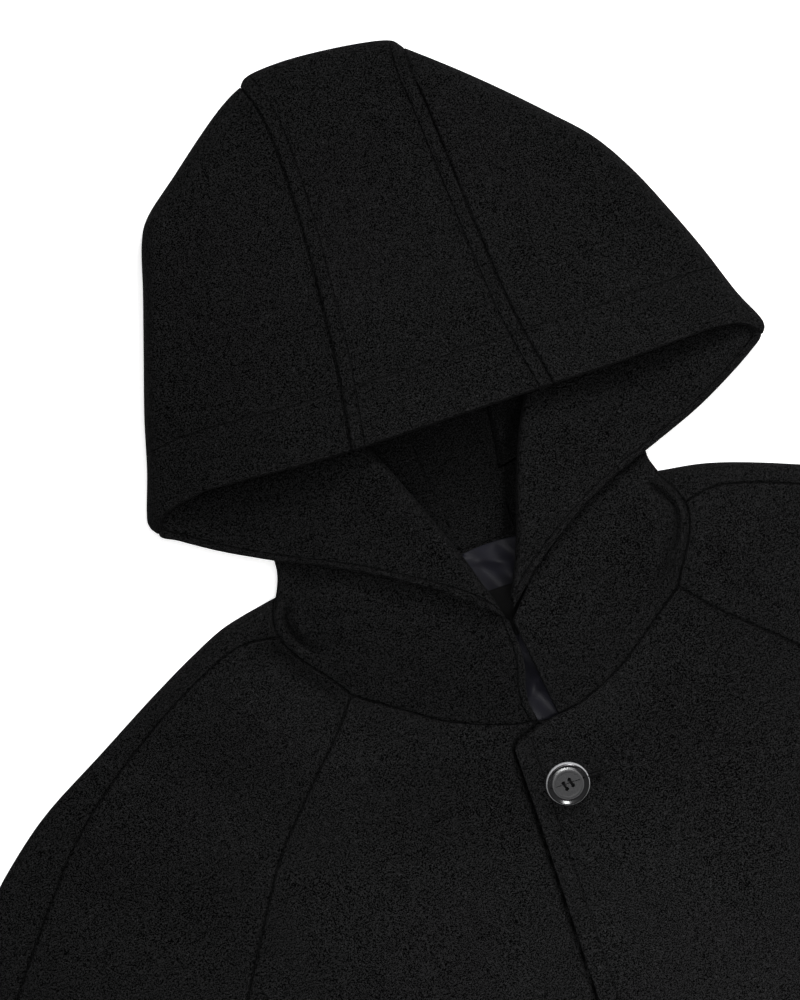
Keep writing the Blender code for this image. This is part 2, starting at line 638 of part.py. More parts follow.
def button(number, upper_front_holes):
    """One button on the upper front, over the end of its buttonhole."""
    y = BUTTON_FIRST - BUTTON_SPACING * (number - 1)
    reach = BUTTON_RADIUS
    slope = (front_surface(0, y + reach) - front_surface(0, y - reach)) / (2 * reach)
    middle = max(front_surface(0, y + k * reach) - k * reach * slope for k in (-1, -0.5, 0, 0.5, 1))
    place = Matrix.Translation(Vector(placed((0, y, middle + 0.7)).tolist()))
    place = place @ Matrix.Rotation(math.atan(slope), 4, "X")
    r, t = BUTTON_RADIUS, BUTTON_THICK
    rings = (
        (0.80 * r, 0), (0.93 * r, 0.1 * t), (0.99 * r, 0.35 * t), (r, 0.6 * t), (0.97 * r, 0.88 * t),
        (0.91 * r, t), (0.84 * r, 0.95 * t), (0.77 * r, 0.76 * t), (0.45 * r, 0.66 * t), (0.2 * r, 0.64 * t),
    )
    mesh = lathed(rings)
    bmesh.ops.transform(mesh, matrix=place, verts=mesh.verts)
    made = add(f"button_{number}", mesh, HORN)
    holes = []
    for dx in (-1, 1):
        for dy in (-1, 1):
            out = BUTTON_HOLES_OUT * MM
            turned = Matrix.Translation((dx * out, dy * out, t * MM / 2))
            sized = Matrix.Diagonal((BUTTON_HOLE * MM, BUTTON_HOLE * MM, 3 * t * MM, 1))
            holes.append((place @ turned @ sized, 8))
    cut(made, cutter(f"button_holes_{number}", holes))
    hole_x = BUTTONHOLE_END - BUTTONHOLE_LENGTH / 2
    sized = Matrix.Diagonal((BUTTONHOLE_LENGTH * MM, BUTTONHOLE_WIDTH * MM, 0.012, 1))
    at = Matrix.Translation(Vector(placed((hole_x, y, front_surface(0, y) - CLOTH / 2)).tolist()))
    upper_front_holes.append((at @ sized, 4))


def build():
    """Make every piece of the coat."""
    for side, word in ((1, "left"), (-1, "right")):
        grid = front_grid(side)
        made = wall(f"front_{word}", grid, CLOTH, WOOL, (0, True), fold_marks(grid, -1), (-1,))
        if side > 0:
            upper_front = made
        grid = sleeve_front_grid(side)
        wall(f"sleeve_front_{word}", grid, CLOTH, WOOL, (0, True), fold_marks(grid, -1), (0, -1))
        grid = sleeve_back_grid(side)
        wall(f"sleeve_back_{word}", grid, CLOTH, WOOL, (0, True), fold_marks(grid, -1), (0,))
        wall(f"neck_{word}", neck_grid(side), DOUBLE_CLOTH, WOOL, (1, True))
    for word, outline, crown, under, facing in (
        ("left", HOOD_LEFT, CROWN_LEFT, UNDER_LEFT, FACING_LEFT),
        ("right", HOOD_RIGHT, CROWN_RIGHT, UNDER_RIGHT, FACING_RIGHT),
    ):
        wall(f"hood_{word}", hood_grid(outline, crown, under), DOUBLE_CLOTH, WOOL, (0, True))
        wall(f"hood_facing_{word}", facing_grid(facing), DOUBLE_CLOTH, WOOL, (1, True))
    grid = back_grid()
    wall("back", grid, CLOTH, WOOL, (grid.shape[1] // 2, False), fold_marks(grid, 0, -1))
    wall("hood_gusset", gusset_grid(), DOUBLE_CLOTH, WOOL, (0, True))
    x, y = np.meshgrid(np.linspace(-80, 80, 9), np.linspace(-60, 97, 7))
    y = np.minimum(y, 97 - (np.abs(x) / 80) ** 2 * 30)
    z = np.full(x.shape, CLOTH + GAP + LINING)
    wall("lining", np.stack([x, y, z], axis=2), LINING, SATIN, (4, True))
    holes = []
    for number in range(1, BUTTON_COUNT + 1):
        button(number, holes)
    cut(upper_front, cutter("buttonholes", holes))


for old in list(bpy.data.objects):
    bpy.data.objects.remove(old)
COAT = bpy.data.collections.new("hooded_coat")
CUTTERS = bpy.data.collections.new("cutters")
bpy.context.scene.collection.children.link(COAT)
bpy.context.scene.collection.children.link(CUTTERS)
CUTTERS.hide_render = True
WOOL = material("melton_black", (0.012, 0.012, 0.013), 0.95, 0.2)
SATIN = material("satin_navy", (0.01, 0.014, 0.05), 0.4)
HORN = material("button_grey", (0.09, 0.09, 0.095), 0.35)
build()
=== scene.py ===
"""Looks of the hooded wool coat: its cloth, sewing, lining, buttons, floor, light and camera.

Left and right are the wearer's. The tables repeat the sizes of the solids, in millimetres, and their y is
counted from the neck seam at the centre of the front.
"""

import math

import bmesh
import bpy
import numpy as np
from mathutils import Matrix, Vector


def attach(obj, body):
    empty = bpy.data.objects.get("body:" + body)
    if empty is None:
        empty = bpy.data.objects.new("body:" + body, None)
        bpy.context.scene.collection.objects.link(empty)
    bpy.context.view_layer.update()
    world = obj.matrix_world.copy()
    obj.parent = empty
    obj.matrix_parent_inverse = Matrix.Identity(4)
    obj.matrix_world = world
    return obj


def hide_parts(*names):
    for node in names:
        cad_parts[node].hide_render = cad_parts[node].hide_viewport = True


bl_info = {
    "name": "Hooded Coat",
    "version": (1, 0, 0),
    "blender": (4, 5, 0),
    "location": "3D View > Sidebar > Coat",
    "description": "Dresses a hooded wool coat that lies flat on its back",
    "category": "Object",
}

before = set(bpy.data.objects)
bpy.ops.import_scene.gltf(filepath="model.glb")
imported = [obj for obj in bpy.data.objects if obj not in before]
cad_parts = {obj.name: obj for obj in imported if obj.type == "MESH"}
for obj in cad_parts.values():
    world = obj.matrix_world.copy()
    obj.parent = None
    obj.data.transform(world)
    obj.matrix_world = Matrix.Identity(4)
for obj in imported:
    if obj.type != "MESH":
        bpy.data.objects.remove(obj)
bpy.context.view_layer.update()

MM = 0.001
MIDDLE_FROM_NECK = 288.75  # from the neck seam at the front down to the middle of the coat

CLOTH = 2.6
DOUBLE_CLOTH = 4.0
FLAT = 8.6  # height of the coat where it lies flat
OVERLAP = 22.0  # the fronts reach this far past the middle
STEP = 3.8  # the upper front lies this much above the lower one
NECK_RISE = 10.5  # how much higher the coat lies round the neck
HOOD_FOLD = 14.0  # height of the hood where it lies flat
BRIM_ARCH = 46.0  # how much higher the brim stands in the middle
ROLL_RADIUS = 9.0  # of the facings' roll
ARMPIT = 8  # row of the sleeve's table that lies at the armpit
FLAP_CORNER = 4.0  # radius of the upper front's top corner
CROWN_COLUMNS = 52  # of a hood side's grid, before its fold
SLEEVE_TOP_COLUMNS = 20  # of a sleeve back's grid, before its outer fold
FAR = 60.0  # distance that stands for no seam or stitching near

# Rows of a sleeve from the neck to the cuff. front: front raglan seam, then underarm fold.
# edge: outer fold. back: back raglan seam, then underarm fold. over: overarm seam to outer fold.
SLEEVE = (
    (91, 44, 105, 105.3, 66, 104, 21),
    (107, 25, 140, 98.7, 84, 72, 13),
    (133, 0, 185, 79.5, 106, 34, 11),
    (159, -27, 231, 55, 135, -12, 14),
    (181, -62, 270, 32, 166, -66, 21),
    (201, -97, 306, 2, 198, -124, 29),
    (221, -140, 348, -39, 228, -180, 36),
    (246, -197, 397, -88, 255, -222, 40),
    (283, -258, 445, -142, 283, -258, 41),
    (319, -303, 480, -190, 319, -303, 41),
    (355, -348, 513, -240, 355, -348, 40),
    (391, -392, 544, -290, 391, -392, 38),
    (427, -437, 575, -340, 427, -437, 36),
    (463, -482, 605, -391, 463, -482, 34),
    (499, -526, 635, -441, 499, -526, 32),
)
# Rows of the body from the armpit to the hem: y on the front edge and on the back's middle, then the side.
BODY = (
    (-300, -262, 283, -258),
    (-370, -335, 281, -330),
    (-440, -410, 284, -400),
    (-515, -490, 289, -475),
    (-600, -580, 295, -560),
    (-690, -675, 302, -655),
    (-780, -770, 310, -750),
    (-865, -860, 318, -845),
    (-950, -950, 326, -940),
)
FRONT_EDGE_Y = (-8, -40, -74, -108, -142, -178, -216, -256, -300)
BACK_MIDDLE_Y = (98.6, 66, 30, -10, -60, -110, -165, -212, -262)
NECK_SEAM = ((-22, -7.7), (0, 0), (16, 2), (33.5, 8), (50.5, 16), (69.5, 29), (91, 44))
NECK_BULGE = 13.0
NECK_MIDDLE = (-6.0, 52.0)
ASKEW = ((-40, 0), (30, -3.5), (60, -5), (80, -8), (100, -11.5), (130, -8), (150, -3), (165, 0))
# How much farther out the wearer's right shoulder lies, by x.
RIGHT_SHOULDER = (
    (-380, 0), (-330, 1.2), (-300, 2.6), (-275, 2.2), (-250, 1.2), (-215, 0.3), (-190, -0.5), (-165, -1.2),
    (-140, -0.6), (-120, 0.4), (-95, 0),
)

# The neck: its edge on the neck seam, then its far edge under the hood.
NECK = (
    (5.5, 1, 1.8, 55, 36),
    (30, 7, 14, 70, 36.5),
    (50.5, 16, 27, 84, 35.5),
    (69.5, 29, 42, 98, 33),
    (85, 40, 57, 110, 30),
    (99.6, 57, 74, 121, 25.5),
    (110, 73, 88, 130, 20.5),
    (112.5, 88, 98.5, 138, 15),
    (108.7, 98, 105, 144, 9.5),
    (105, 105.3, 106.5, 149, 5.5),
    (97, 104, 102, 151, 1),
    (88, 104, 92, 149, 0),
    (66, 104, 66, 143, 0),
    (40, 101, 41, 138.2, 0),
    (14.8, 99, 18.6, 133.6, 0),
)

# Hood outline from each corner of its mouth to the gusset's seam at the top, and the gusset's seams.
HOOD_RIGHT = (
    (-165.3, 156.9), (-168.1, 161.8), (-167.5, 168.5), (-160, 190.5), (-152.5, 217.5), (-143, 247),
    (-132.5, 279.5), (-124.5, 305.5), (-116.5, 318.3), (-98, 333), (-80.5, 347), (-66, 357.8), (-56, 364),
    (-49, 367.2),
)
HOOD_LEFT = (
    (171.8, 155.9), (174.1, 159.8), (173, 166), (165.5, 182), (156.5, 208), (146.2, 233.5), (134.3, 260),
    (120, 283.5), (103, 301.5), (86, 318.5), (68, 335.4), (54.5, 347.3), (46, 354.5), (40, 359.5),
)
GUSSET_TOP = (
    (-49, 367.2), (-45.5, 370.8), (-38, 372.6), (-22, 373.2), (-2.8, 372), (18.6, 369.3), (34, 365.7),
    (40, 359.5),
)
CROWN_RIGHT = ((-54, 166), (-47.5, 209), (-44, 250), (-41.5, 290), (-41.5, 330), (-44, 352), (-49, 367.2))
CROWN_LEFT = ((57, 166), (49.5, 209), (46, 250), (43.5, 290), (41, 330), (39.5, 346), (40, 359.5))
UNDER_RIGHT = ((-15.1, 98.3), (-20, 131.4), (-22, 156), (-27, 235), (-33, 300), (-41, 345), (-49, 367.2))
UNDER_LEFT = ((15.1, 98.3), (16.3, 131.4), (20, 156), (27, 235), (33, 300), (38, 340), (40, 359.5))
BRIM_RIGHT = (
    (-165.3, 156.9), (-162, 162.5), (-158, 166), (-150, 168.3), (-134, 170.3), (-111, 169.3), (-87, 167.4),
    (-54, 166),
)
BRIM_LEFT = (
    (57, 166), (98, 165.8), (118, 166.6), (138, 167), (150, 167), (159, 166), (166, 163), (171.8, 155.9)
)
HOOD_FOOT = ((18, 132.5), (40, 137), (66, 142.5), (92, 148.5), (103, 151), (170, 160))

# Facing of the hood's front edge: free edge, roll, and foot inside the hood.
FACING_RIGHT = (
    (-5, 57, 40, -7, 68, 43, -9, 69, 18),
    (-15, 66.5, 43, -10, 77, 46, -12, 77, 17),
    (-33, 81, 43, -15, 94, 47.5, -18, 93, 16),
    (-61, 99, 38.5, -24, 117, 48, -27, 116, 10),
    (-85, 112, 32, -32, 137, 47.5, -35, 136, 6),
    (-109, 123, 24.5, -41, 158, 46, -44, 158, 6),
    (-135, 136.7, 15.5, -53, 180, 40, -54, 181, 6.6),
    (-155, 149.3, 11, -72, 205, 27, -64, 210, 8.4),
    (-164.7, 156.5, 12, -95, 227, 14, -75, 240, 8.8),
    (-160, 172, 8.4, -118, 236, 8.4, -96, 262, 8.4),
)
FACING_LEFT = (
    (0, 60.5, 42, 1, 69, 45, 4, 72, 18),
    (12, 71, 44, 7, 82, 47, 11, 85, 17),
    (30, 85, 43.5, 13.5, 99, 48.5, 18, 102, 16),
    (57, 102, 38.5, 20.5, 120, 49, 25, 123, 10),
    (79, 112, 33, 28, 140, 48.5, 33, 143, 6),
    (101, 120, 26, 37.5, 160, 47, 42, 163, 6),
    (131, 131.8, 16.5, 50, 182, 40.5, 54, 185, 6.6),
    (161.5, 148.4, 11, 70, 206, 27, 74, 211, 8.4),
    (171.2, 157.6, 11, 94, 227, 14, 92, 239, 8.8),
    (165, 173, 8.4, 116, 235, 8.4, 104, 262, 8.4),
)

# Soft folds in the upper layer: two ends, height (troughs are negative) and half width.
FOLDS = (
    (-128, 62, -100, 26, -4.0, 20),
    (150, 40, 108, 8, -3.0, 17),
    (128, 16, 176, -30, 1.6, 15),
    (-205, -150, -262, -225, 2.4, 18),
    (205, -135, 264, -228, 2.6, 19),
    (-330, -130, -290, -240, 2.2, 20),
    (338, -150, 296, -238, 2.0, 19),
    (-452, -300, -520, -392, 2.0, 20),
    (446, -286, 508, -372, 2.4, 22),
    (-180, -420, -205, -900, 3.0, 38),
    (-75, -560, -90, -940, 2.4, 34),
    (120, -470, 140, -930, 3.2, 36),
    (235, -380, 262, -880, 2.4, 32),
)
# Finer folds of the same kind, on the coat and then on the hood.
COAT_FOLDS = (
    (-130, 76, -111, 50, -4.6, 9),
    (-205, 45, -168, 5, -3.6, 22),
    (-262, -20, -215, -45, -3.2, 20),
    (230, 30, 190, -20, -1.6, 22),
    (-112, 30, -150, -20, 0.8, 9),
    (-140, 66, -178, 52, 0.9, 10),
    (118, 62, 132, 30, 0.9, 9),
    (-240, -170, -275, -246, 1.0, 8),
    (238, -160, 276, -246, 1.1, 8),
    (-300, -200, -288, -262, 1.2, 8),
    (312, -214, 291, -262, 1.1, 8),
    (-360, -210, -330, -290, 1.0, 10),
    (366, -220, 336, -292, 1.2, 10),
    (-395, -262, -372, -330, 0.8, 9),
    (470, -330, 492, -360, 0.9, 9),
    (-482, -350, -474, -400, 0.9, 9),
    (-40, -300, -50, -520, 0.7, 15),
    (172, -300, 182, -470, 0.9, 16),
    (-230, -300, -222, -520, 0.9, 15),
)
HOOD_FOLDS = (
    (-150, 190, -96, 236, -1.2, 9),
    (-138, 176, -84, 196, 0.9, 8),
    (152, 176, 96, 204, 1.0, 8),
    (146, 196, 104, 246, -1.1, 9),
    (-20, 182, -16, 250, -0.8, 14),
    (22, 240, 18, 320, 0.7, 12),
    (-104, 262, -78, 318, 0.8, 12),
    (98, 250, 74, 300, -0.7, 12),
)
# Diagonal folds in the turned-out facings: place along the free edge, place across, slant, height in
# millimetres, width. Places and widths are shares of the facing.
FACING_FOLDS = {
    "left": ((0.40, 0.5, 0.16, 0.9, 0.022), (0.49, 0.45, 0.18, 1.2, 0.026), (0.58, 0.5, 0.2, 1.0, 0.024),
             (0.30, 0.5, 0.12, 0.6, 0.02)),
    "right": ((0.36, 0.5, 0.12, 0.5, 0.03), (0.55, 0.5, 0.16, 0.8, 0.03), (0.68, 0.4, 0.18, 0.7, 0.026)),
}

# The narrow deep place beside the roll of the wearer's left facing, darkened with painted shade.
ROLL_SHADE = ((3.5, 80), (10, 99), (17, 120), (24.5, 140), (34, 160))
# Where the gusset's seam runs on, down the back of the neck.
GUSSET_END = ((17.4, 134.2), (19.8, 119.6))
# The crevice beside the upper front's free edge, sunk into the lower front and darkened with painted shadow.
FLAP_LINE = ((6, 3), (-12, -3.4), (-20, -6.2), (-22.9, -9.5), (-22.8, -40), (-22.8, -1000))
STITCH_SINK = 0.25  # how deep stitches lie in the cloth, as a share of the thread's width
STITCH_FROM_FRONT_EDGE = 11.0
STITCH_FROM_GUSSET = 7.5
STITCH_FROM_BRIM = 31.0
STITCH_FROM_FACING_EDGE = 4.5
BUTTONHOLE_LENGTH = 29.0
BUTTONHOLE_END = 18.0  # x of its far end
BUTTONHOLE_WIDTH = 0.9


class CoatSettings(bpy.types.PropertyGroup):
    """Sizes and colours of the coat's cloth and trim."""

    wool: bpy.props.FloatVectorProperty(
        name="Wool", description="Colour of the melton", subtype="COLOR", default=(0.0041, 0.0041, 0.0042)
    )
    # The fleck colour also serves, dimmed, as the painted highlight along free edges.
    wool_fleck_and_edge_highlight: bpy.props.FloatVectorProperty(
        name="Fleck", description="Colour of its lightest fibres", subtype="COLOR",
        default=(0.024, 0.024, 0.025),
    )
    satin: bpy.props.FloatVectorProperty(
        name="Lining", description="Colour of the satin lining", subtype="COLOR",
        default=(0.0095, 0.0095, 0.0130),
    )
    button_face: bpy.props.FloatVectorProperty(
        name="Button", description="Colour of the middle of a button", subtype="COLOR",
        default=(0.017, 0.017, 0.019),
    )
    button_ring: bpy.props.FloatVectorProperty(
        name="Button ring", description="Colour of the dark ring inside its rim", subtype="COLOR",
        default=(0.003, 0.003, 0.0034),
    )
    thread: bpy.props.FloatVectorProperty(
        name="Thread", description="Colour of the sewing thread", subtype="COLOR",
        default=(0.0022, 0.0022, 0.0024),
    )
    stitch_length: bpy.props.FloatProperty(
        name="Stitch", description="Length of one stitch", subtype="DISTANCE", unit="LENGTH", default=0.0031
    )
    stitch_width: bpy.props.FloatProperty(
        name="Thread width", description="Width of the sewing thread", subtype="DISTANCE", unit="LENGTH",
        default=0.00055,
    )
    button_radius: bpy.props.FloatProperty(
        name="Button radius", description="Radius of a button", subtype="DISTANCE", unit="LENGTH",
        default=0.0117,
    )
    button_thick: bpy.props.FloatProperty(
        name="Button thickness", description="Thickness of a button", subtype="DISTANCE", unit="LENGTH",
        default=0.0042,
    )
    button_first: bpy.props.FloatProperty(
        name="First button", description="Its place below the neck seam", subtype="DISTANCE", unit="LENGTH",
        default=0.0357,
    )
    button_spacing: bpy.props.FloatProperty(
        name="Button spacing", description="From one button to the next", subtype="DISTANCE", unit="LENGTH",
        default=0.155,
    )
    grain: bpy.props.FloatProperty(
        name="Grain", description="Depth of the felted grain", subtype="DISTANCE", unit="LENGTH",
        default=0.00035,
    )


# Shapes


def spline(table, at):
    """Values between the rows of a table, on a smooth curve through them. at counts rows from 0."""
    rows = np.asarray(table, float)
    last = len(rows) - 1
    at = np.clip(np.asarray(at, float), 0, last)
    i = np.minimum(at.astype(int), last - 1)
    t = (at - i)[:, None]
    before, a, b, after = (rows[np.clip(i + k, 0, last)] for k in (-1, 0, 1, 2))
    before = np.where((i == 0)[:, None], 2 * a - b, before)
    after = np.where((i == last - 1)[:, None], 2 * b - a, after)
    return 0.5 * (
        2 * a
        + (b - before) * t
        + (2 * before - 5 * a + 4 * b - after) * t**2
        + (3 * a - before - 3 * b + after) * t**3
    )


def finer(table, step):
    """The rows of a table with more between them."""
    last = len(table) - 1
    return spline(table, np.linspace(0, last, int(round(last / step)) + 1))


def distance(x, y, line):
    """Distance in plan from each point to a line of points."""
    line = np.asarray(line, float)[:, :2]
    shape = np.shape(x)
    px, py = np.ravel(x), np.ravel(y)
    nearest = np.full(px.shape, np.inf)
    for (ax, ay), (bx, by) in zip(line[:-1], line[1:]):
        dx, dy = bx - ax, by - ay
        t = np.clip(((px - ax) * dx + (py - ay) * dy) / (dx * dx + dy * dy + 1e-12), 0, 1)
        nearest = np.minimum(nearest, (px - ax - t * dx) ** 2 + (py - ay - t * dy) ** 2)
    return np.sqrt(nearest).reshape(shape)


def smooth(t):
    """0 to 1 with level ends."""
    t = np.clip(t, 0, 1)
    return t * t * (3 - 2 * t)


def shifted(plan, side):
    """Plan points of the wearer's left put on the given side, and askew near the neck."""
    x, y = side * plan[:, 0], plan[:, 1]
    table = np.array(ASKEW, float)
    share = smooth((260 - np.abs(x)) / 130) * smooth(np.abs(x) / 60)
    x = x + np.interp(y, table[:, 0], table[:, 1]) * share
    table = np.array(RIGHT_SHOULDER, float)
    return np.stack([x, y + np.interp(x, table[:, 0], table[:, 1]) * smooth((y + 160) / 140)], axis=1)


def both_sides(line):
    """A line on the wearer's left and the same on the right."""
    return [shifted(line, 1), shifted(line, -1)]


UPPER_ROWS = np.linspace(0, ARMPIT, 115)
SLEEVE_PLACES = np.concatenate([UPPER_ROWS, np.linspace(ARMPIT, 14, 67)[1:]])
BODY_PLACES = np.concatenate([UPPER_ROWS, np.linspace(ARMPIT, 16, 97)[1:]])
SLEEVE_FINE = finer(SLEEVE, 0.25)
BODY_FINE = finer(BODY, 0.25)
SHOULDER_LINES = both_sides(SLEEVE_FINE[:, 2:4])
SIDE_LINES = both_sides(np.concatenate([SLEEVE_FINE[4 * ARMPIT :, 0:2][::-1], BODY_FINE[1:, 2:4]]))
HOOD_LINE = np.concatenate(
    [finer(HOOD_RIGHT, 0.34), finer(GUSSET_TOP, 0.34)[1:-1], finer(HOOD_LEFT, 0.34)[::-1]]
)
BRIM_LINE = [*BRIM_RIGHT, *BRIM_LEFT]
GUSSET_SEAMS = [finer(CROWN_RIGHT, 0.25), finer(CROWN_LEFT, 0.25)]


def bow(points, start, edge, place):
    """Points of a sleeve section pushed out to the neck seam, less and less away from the neck."""
    t = np.linalg.norm(points - start, axis=1) / np.linalg.norm(edge - start)
    share = max(0.0, 1 - place / 2.6) ** 2
    return points + np.outer(NECK_BULGE * share * np.sin(np.pi * np.clip(t, 0, 1) ** 1.3), (1, 0))


def overarm_line(side):
    """The overarm seam in plan."""
    points = []
    for place, row in zip(np.linspace(0, 14, 57), SLEEVE_FINE):
        start, edge = row[0:2], row[2:4]
        seam = edge + (start - edge) * row[6] / np.linalg.norm(start - edge)
        points.append(bow(seam[None], start, edge, place)[0])
    return shifted(np.array(points), side)


def raglan_line(side):
    """The front raglan seam in plan."""
    return shifted(SLEEVE_FINE[: 4 * ARMPIT + 1, 0:2], side)


def neck_line():
    """The neck seam in plan, from one shoulder to the other."""
    halves = []
    for side in (-1, 1):
        front = shifted(finer(NECK_SEAM[1:], 0.25), side)
        row = np.array(SLEEVE[0], float)
        t = np.linspace(0, 1, 14)[1:, None]
        around = bow(row[0:2] + (row[2:4] - row[0:2]) * t, row[0:2], row[2:4], 0)
        halves.append(np.concatenate([front, shifted(around, side)]))
    return np.concatenate([halves[0][::-1], halves[1]])


def round_over(away, reach):
    """0 at a fold and 1 from reach inwards, as a quarter circle."""
    t = 1 - np.clip(away / reach, 0, 1)
    return np.sqrt(np.maximum(1 - t * t, 0))


def ridge_share(x, y):
    """1 where the neck seam rolls into a ridge, over the shoulders, and 0 towards the front."""
    start = np.where(x > NECK_MIDDLE[0], 42, 66)
    along = smooth((y - start) / 16) * (1 - smooth((y - 98) / 7))
    return along * smooth((np.abs(x - NECK_MIDDLE[0]) - 66) / 24)


def ridge(x, y, away, inside=False):
    """Height of the ridge, and of the crease inside it, at a distance from the neck seam."""
    roll = 0.9 * np.exp(-((away / 3.6) ** 2))
    fold = 2.0 * np.exp(-(((away - 3.1) / 2.1) ** 2)) - 1.7 * np.exp(-(((away - 6.6) / 1.0) ** 2))
    return ridge_share(x, y) * (roll + (fold + 3.0 * smooth((away - 6.6) / 6)) * inside)


def relief(x, y, folds):
    """Height of the soft folds of a table."""
    total = np.zeros(np.shape(x))
    for x0, y0, x1, y1, height, width in folds:
        away = distance(x, y, [(x0, y0), (x1, y1)])
        total = total + height * np.exp(-((away / width) ** 2))
    return total


def unevenness(x, y):
    """The slow waves of heavy cloth that lies flat."""
    return (
        0.35 * np.sin(x / 37 + 1.3) * np.sin(y / 53 + 0.4)
        + 0.25 * np.sin((x + 0.6 * y) / 29 + 2.1)
        + 0.2 * np.sin((y - 0.4 * x) / 21 + 0.7) * np.sin(x / 61)
    )


def edge_distance(x, y):
    """Distance to the nearest fold round the sleeves and the body."""
    return np.min([distance(x, y, line) for line in SHOULDER_LINES + SIDE_LINES], axis=0)


def coat_top(x, y):
    """Height of the upper layer's outer surface."""
    oval = np.sqrt(((x - NECK_MIDDLE[0]) / 110) ** 2 + ((y - NECK_MIDDLE[1]) / 56) ** 2)
    rise = NECK_RISE * np.exp(-((np.maximum(oval - 1, 0) / 0.62) ** 2))
    middle = FLAT / 2 + 0.02
    height = FLAT + rise + relief(x, y, FOLDS) + relief(x, y, COAT_FOLDS) + unevenness(x, y)
    height = height + ridge(x, y, distance(x, y, neck_line()))
    return middle + (height - middle) * round_over(edge_distance(x, y), height / 2)


def coat_bottom(x, y):
    """Height of the lower layer's outer surface, 0 where it lies on the floor."""
    return (FLAT / 2 - 0.02) * (1 - round_over(edge_distance(x, y), FLAT / 2))


def front_lift(x):
    """The upper front's height above the layer beneath, from its edge to past the overlap."""
    return STEP * (1 - smooth((x - OVERLAP - 3) / 55))


def hood_top(x, y):
    """Height of the hood's crown."""
    back = np.clip((372 - y) / 206, 0, 1.05) ** 1.2
    across = 1 - np.clip(np.abs(x - 2) / 168, 0, 1) ** 2.2
    middle = HOOD_FOLD / 2
    rise = round_over(distance(x, y, HOOD_LINE), middle)
    seams = np.min([distance(x, y, line) for line in GUSSET_SEAMS], axis=0)
    inside = (np.abs(x) < 57) & (x > np.interp(y, *GUSSET_SEAMS[0][:, ::-1].T))
    inside &= x < np.interp(y, *GUSSET_SEAMS[1][:, ::-1].T)
    strip = np.where(inside, 0.9 * (1 - smooth((seams - 6.2) / 2.2)), 0.25 * np.exp(-((seams / 5) ** 2)))
    hem = 0.5 * (1 - smooth((y - 166 - 31) / 3))
    fine = relief(x, y, HOOD_FOLDS) + unevenness(x + 40, y) * 0.8 + strip + hem
    return middle + (HOOD_FOLD - middle + BRIM_ARCH * back * across + fine) * rise


def hood_floor(x, y):
    """Height of the hood's lower layer, 0 where it lies on the floor."""
    return HOOD_FOLD / 2 * (1 - round_over(distance(x, y, HOOD_LINE), HOOD_FOLD / 2))


def section(start, end, count, reach, fold_start=False, fold_end=False):
    """Plan points from start to end, closer together at an end that lies on a fold."""
    start, end = np.asarray(start, float), np.asarray(end, float)
    length = max(np.linalg.norm(end - start), 1e-6)
    near = min(reach, 0.42 * length) * (1 - np.cos(np.radians(np.linspace(0, 90, 9)))) / length
    low = near if fold_start else np.zeros(1)
    high = 1 - near[::-1] if fold_end else np.ones(1)
    middle = np.linspace(low[-1], high[0], count - len(low) - len(high) + 2)[1:-1]
    return start + (end - start) * np.concatenate([low, middle, high])[:, None]


def body_row(place):
    """y on the front edge and on the back's middle, and the two outer ends of the body's sections."""
    if place <= ARMPIT:
        row = spline(SLEEVE, [place])[0]
        edge_y = spline([[y] for y in FRONT_EDGE_Y], [place])[0, 0]
        middle_y = spline([[y] for y in BACK_MIDDLE_Y], [place])[0, 0]
        return edge_y, middle_y, row[0:2], row[4:6]
    row = spline(BODY, [place - ARMPIT])[0]
    return row[0], row[1], row[2:4], row[2:4]


def front_grid(side):
    """Points of a front from its free edge to the raglan seam or the side. The left one is on top."""
    seam = np.array(NECK_SEAM, float)
    plan = []
    for place in BODY_PLACES:
        edge_y, _, end, _ = body_row(place)
        short = FLAP_CORNER - min(max(NECK_SEAM[0][1] - edge_y, 0), FLAP_CORNER)
        rounded = FLAP_CORNER - math.sqrt(FLAP_CORNER**2 - short**2)
        start = np.array([rounded - OVERLAP, edge_y])
        on_fold = place >= ARMPIT - 1e-6
        points = section(start, end, 92, FLAT / 2, fold_end=on_fold)
        t = (points[:, 0] - start[0]) / (end[0] - start[0])
        across = seam[0] + (seam[-1] - seam[0]) * t[:, None]
        bend = np.interp(across[:, 0], seam[:, 0], seam[:, 1]) - across[:, 1]
        points[:, 1] += bend * max(0.0, 1 - place / 3.2) ** 2
        plan.append(shifted(points, side))
    x, y = np.moveaxis(np.array(plan), 2, 0)
    z = coat_top(x, y) + (front_lift(x) if side > 0 else 0)
    return np.stack([x, y, z], axis=2)


def back_grid():
    """Points of the back, from the wearer's right to the left."""
    plan = []
    for place in BODY_PLACES[::2]:
        _, middle_y, _, end = body_row(place)
        on_fold = place >= ARMPIT - 1e-6
        half = section((0, middle_y), end, 44, FLAT / 2, fold_end=on_fold)
        half[:, 1] = middle_y + (end[1] - middle_y) * (half[:, 0] / end[0]) ** 1.6
        plan.append(np.concatenate([shifted(half, -1)[:0:-1], shifted(half, 1)]))
    x, y = np.moveaxis(np.array(plan), 2, 0)
    return np.stack([x, y, coat_bottom(x, y)], axis=2)


def sleeve_front_grid(side):
    """Points of a sleeve's front half, from the overarm seam to the raglan seam or the underarm fold."""
    plan = []
    for place, row in zip(SLEEVE_PLACES, spline(SLEEVE, SLEEVE_PLACES)):
        start, edge = row[0:2], row[2:4]
        on_fold = place >= ARMPIT - 1e-6
        seam = edge + (start - edge) * row[6] / np.linalg.norm(start - edge)
        points = bow(section(seam, start, 46, FLAT / 2, fold_end=on_fold), start, edge, place)
        plan.append(shifted(points, side))
    x, y = np.moveaxis(np.array(plan), 2, 0)
    return np.stack([x, y, coat_top(x, y)], axis=2)


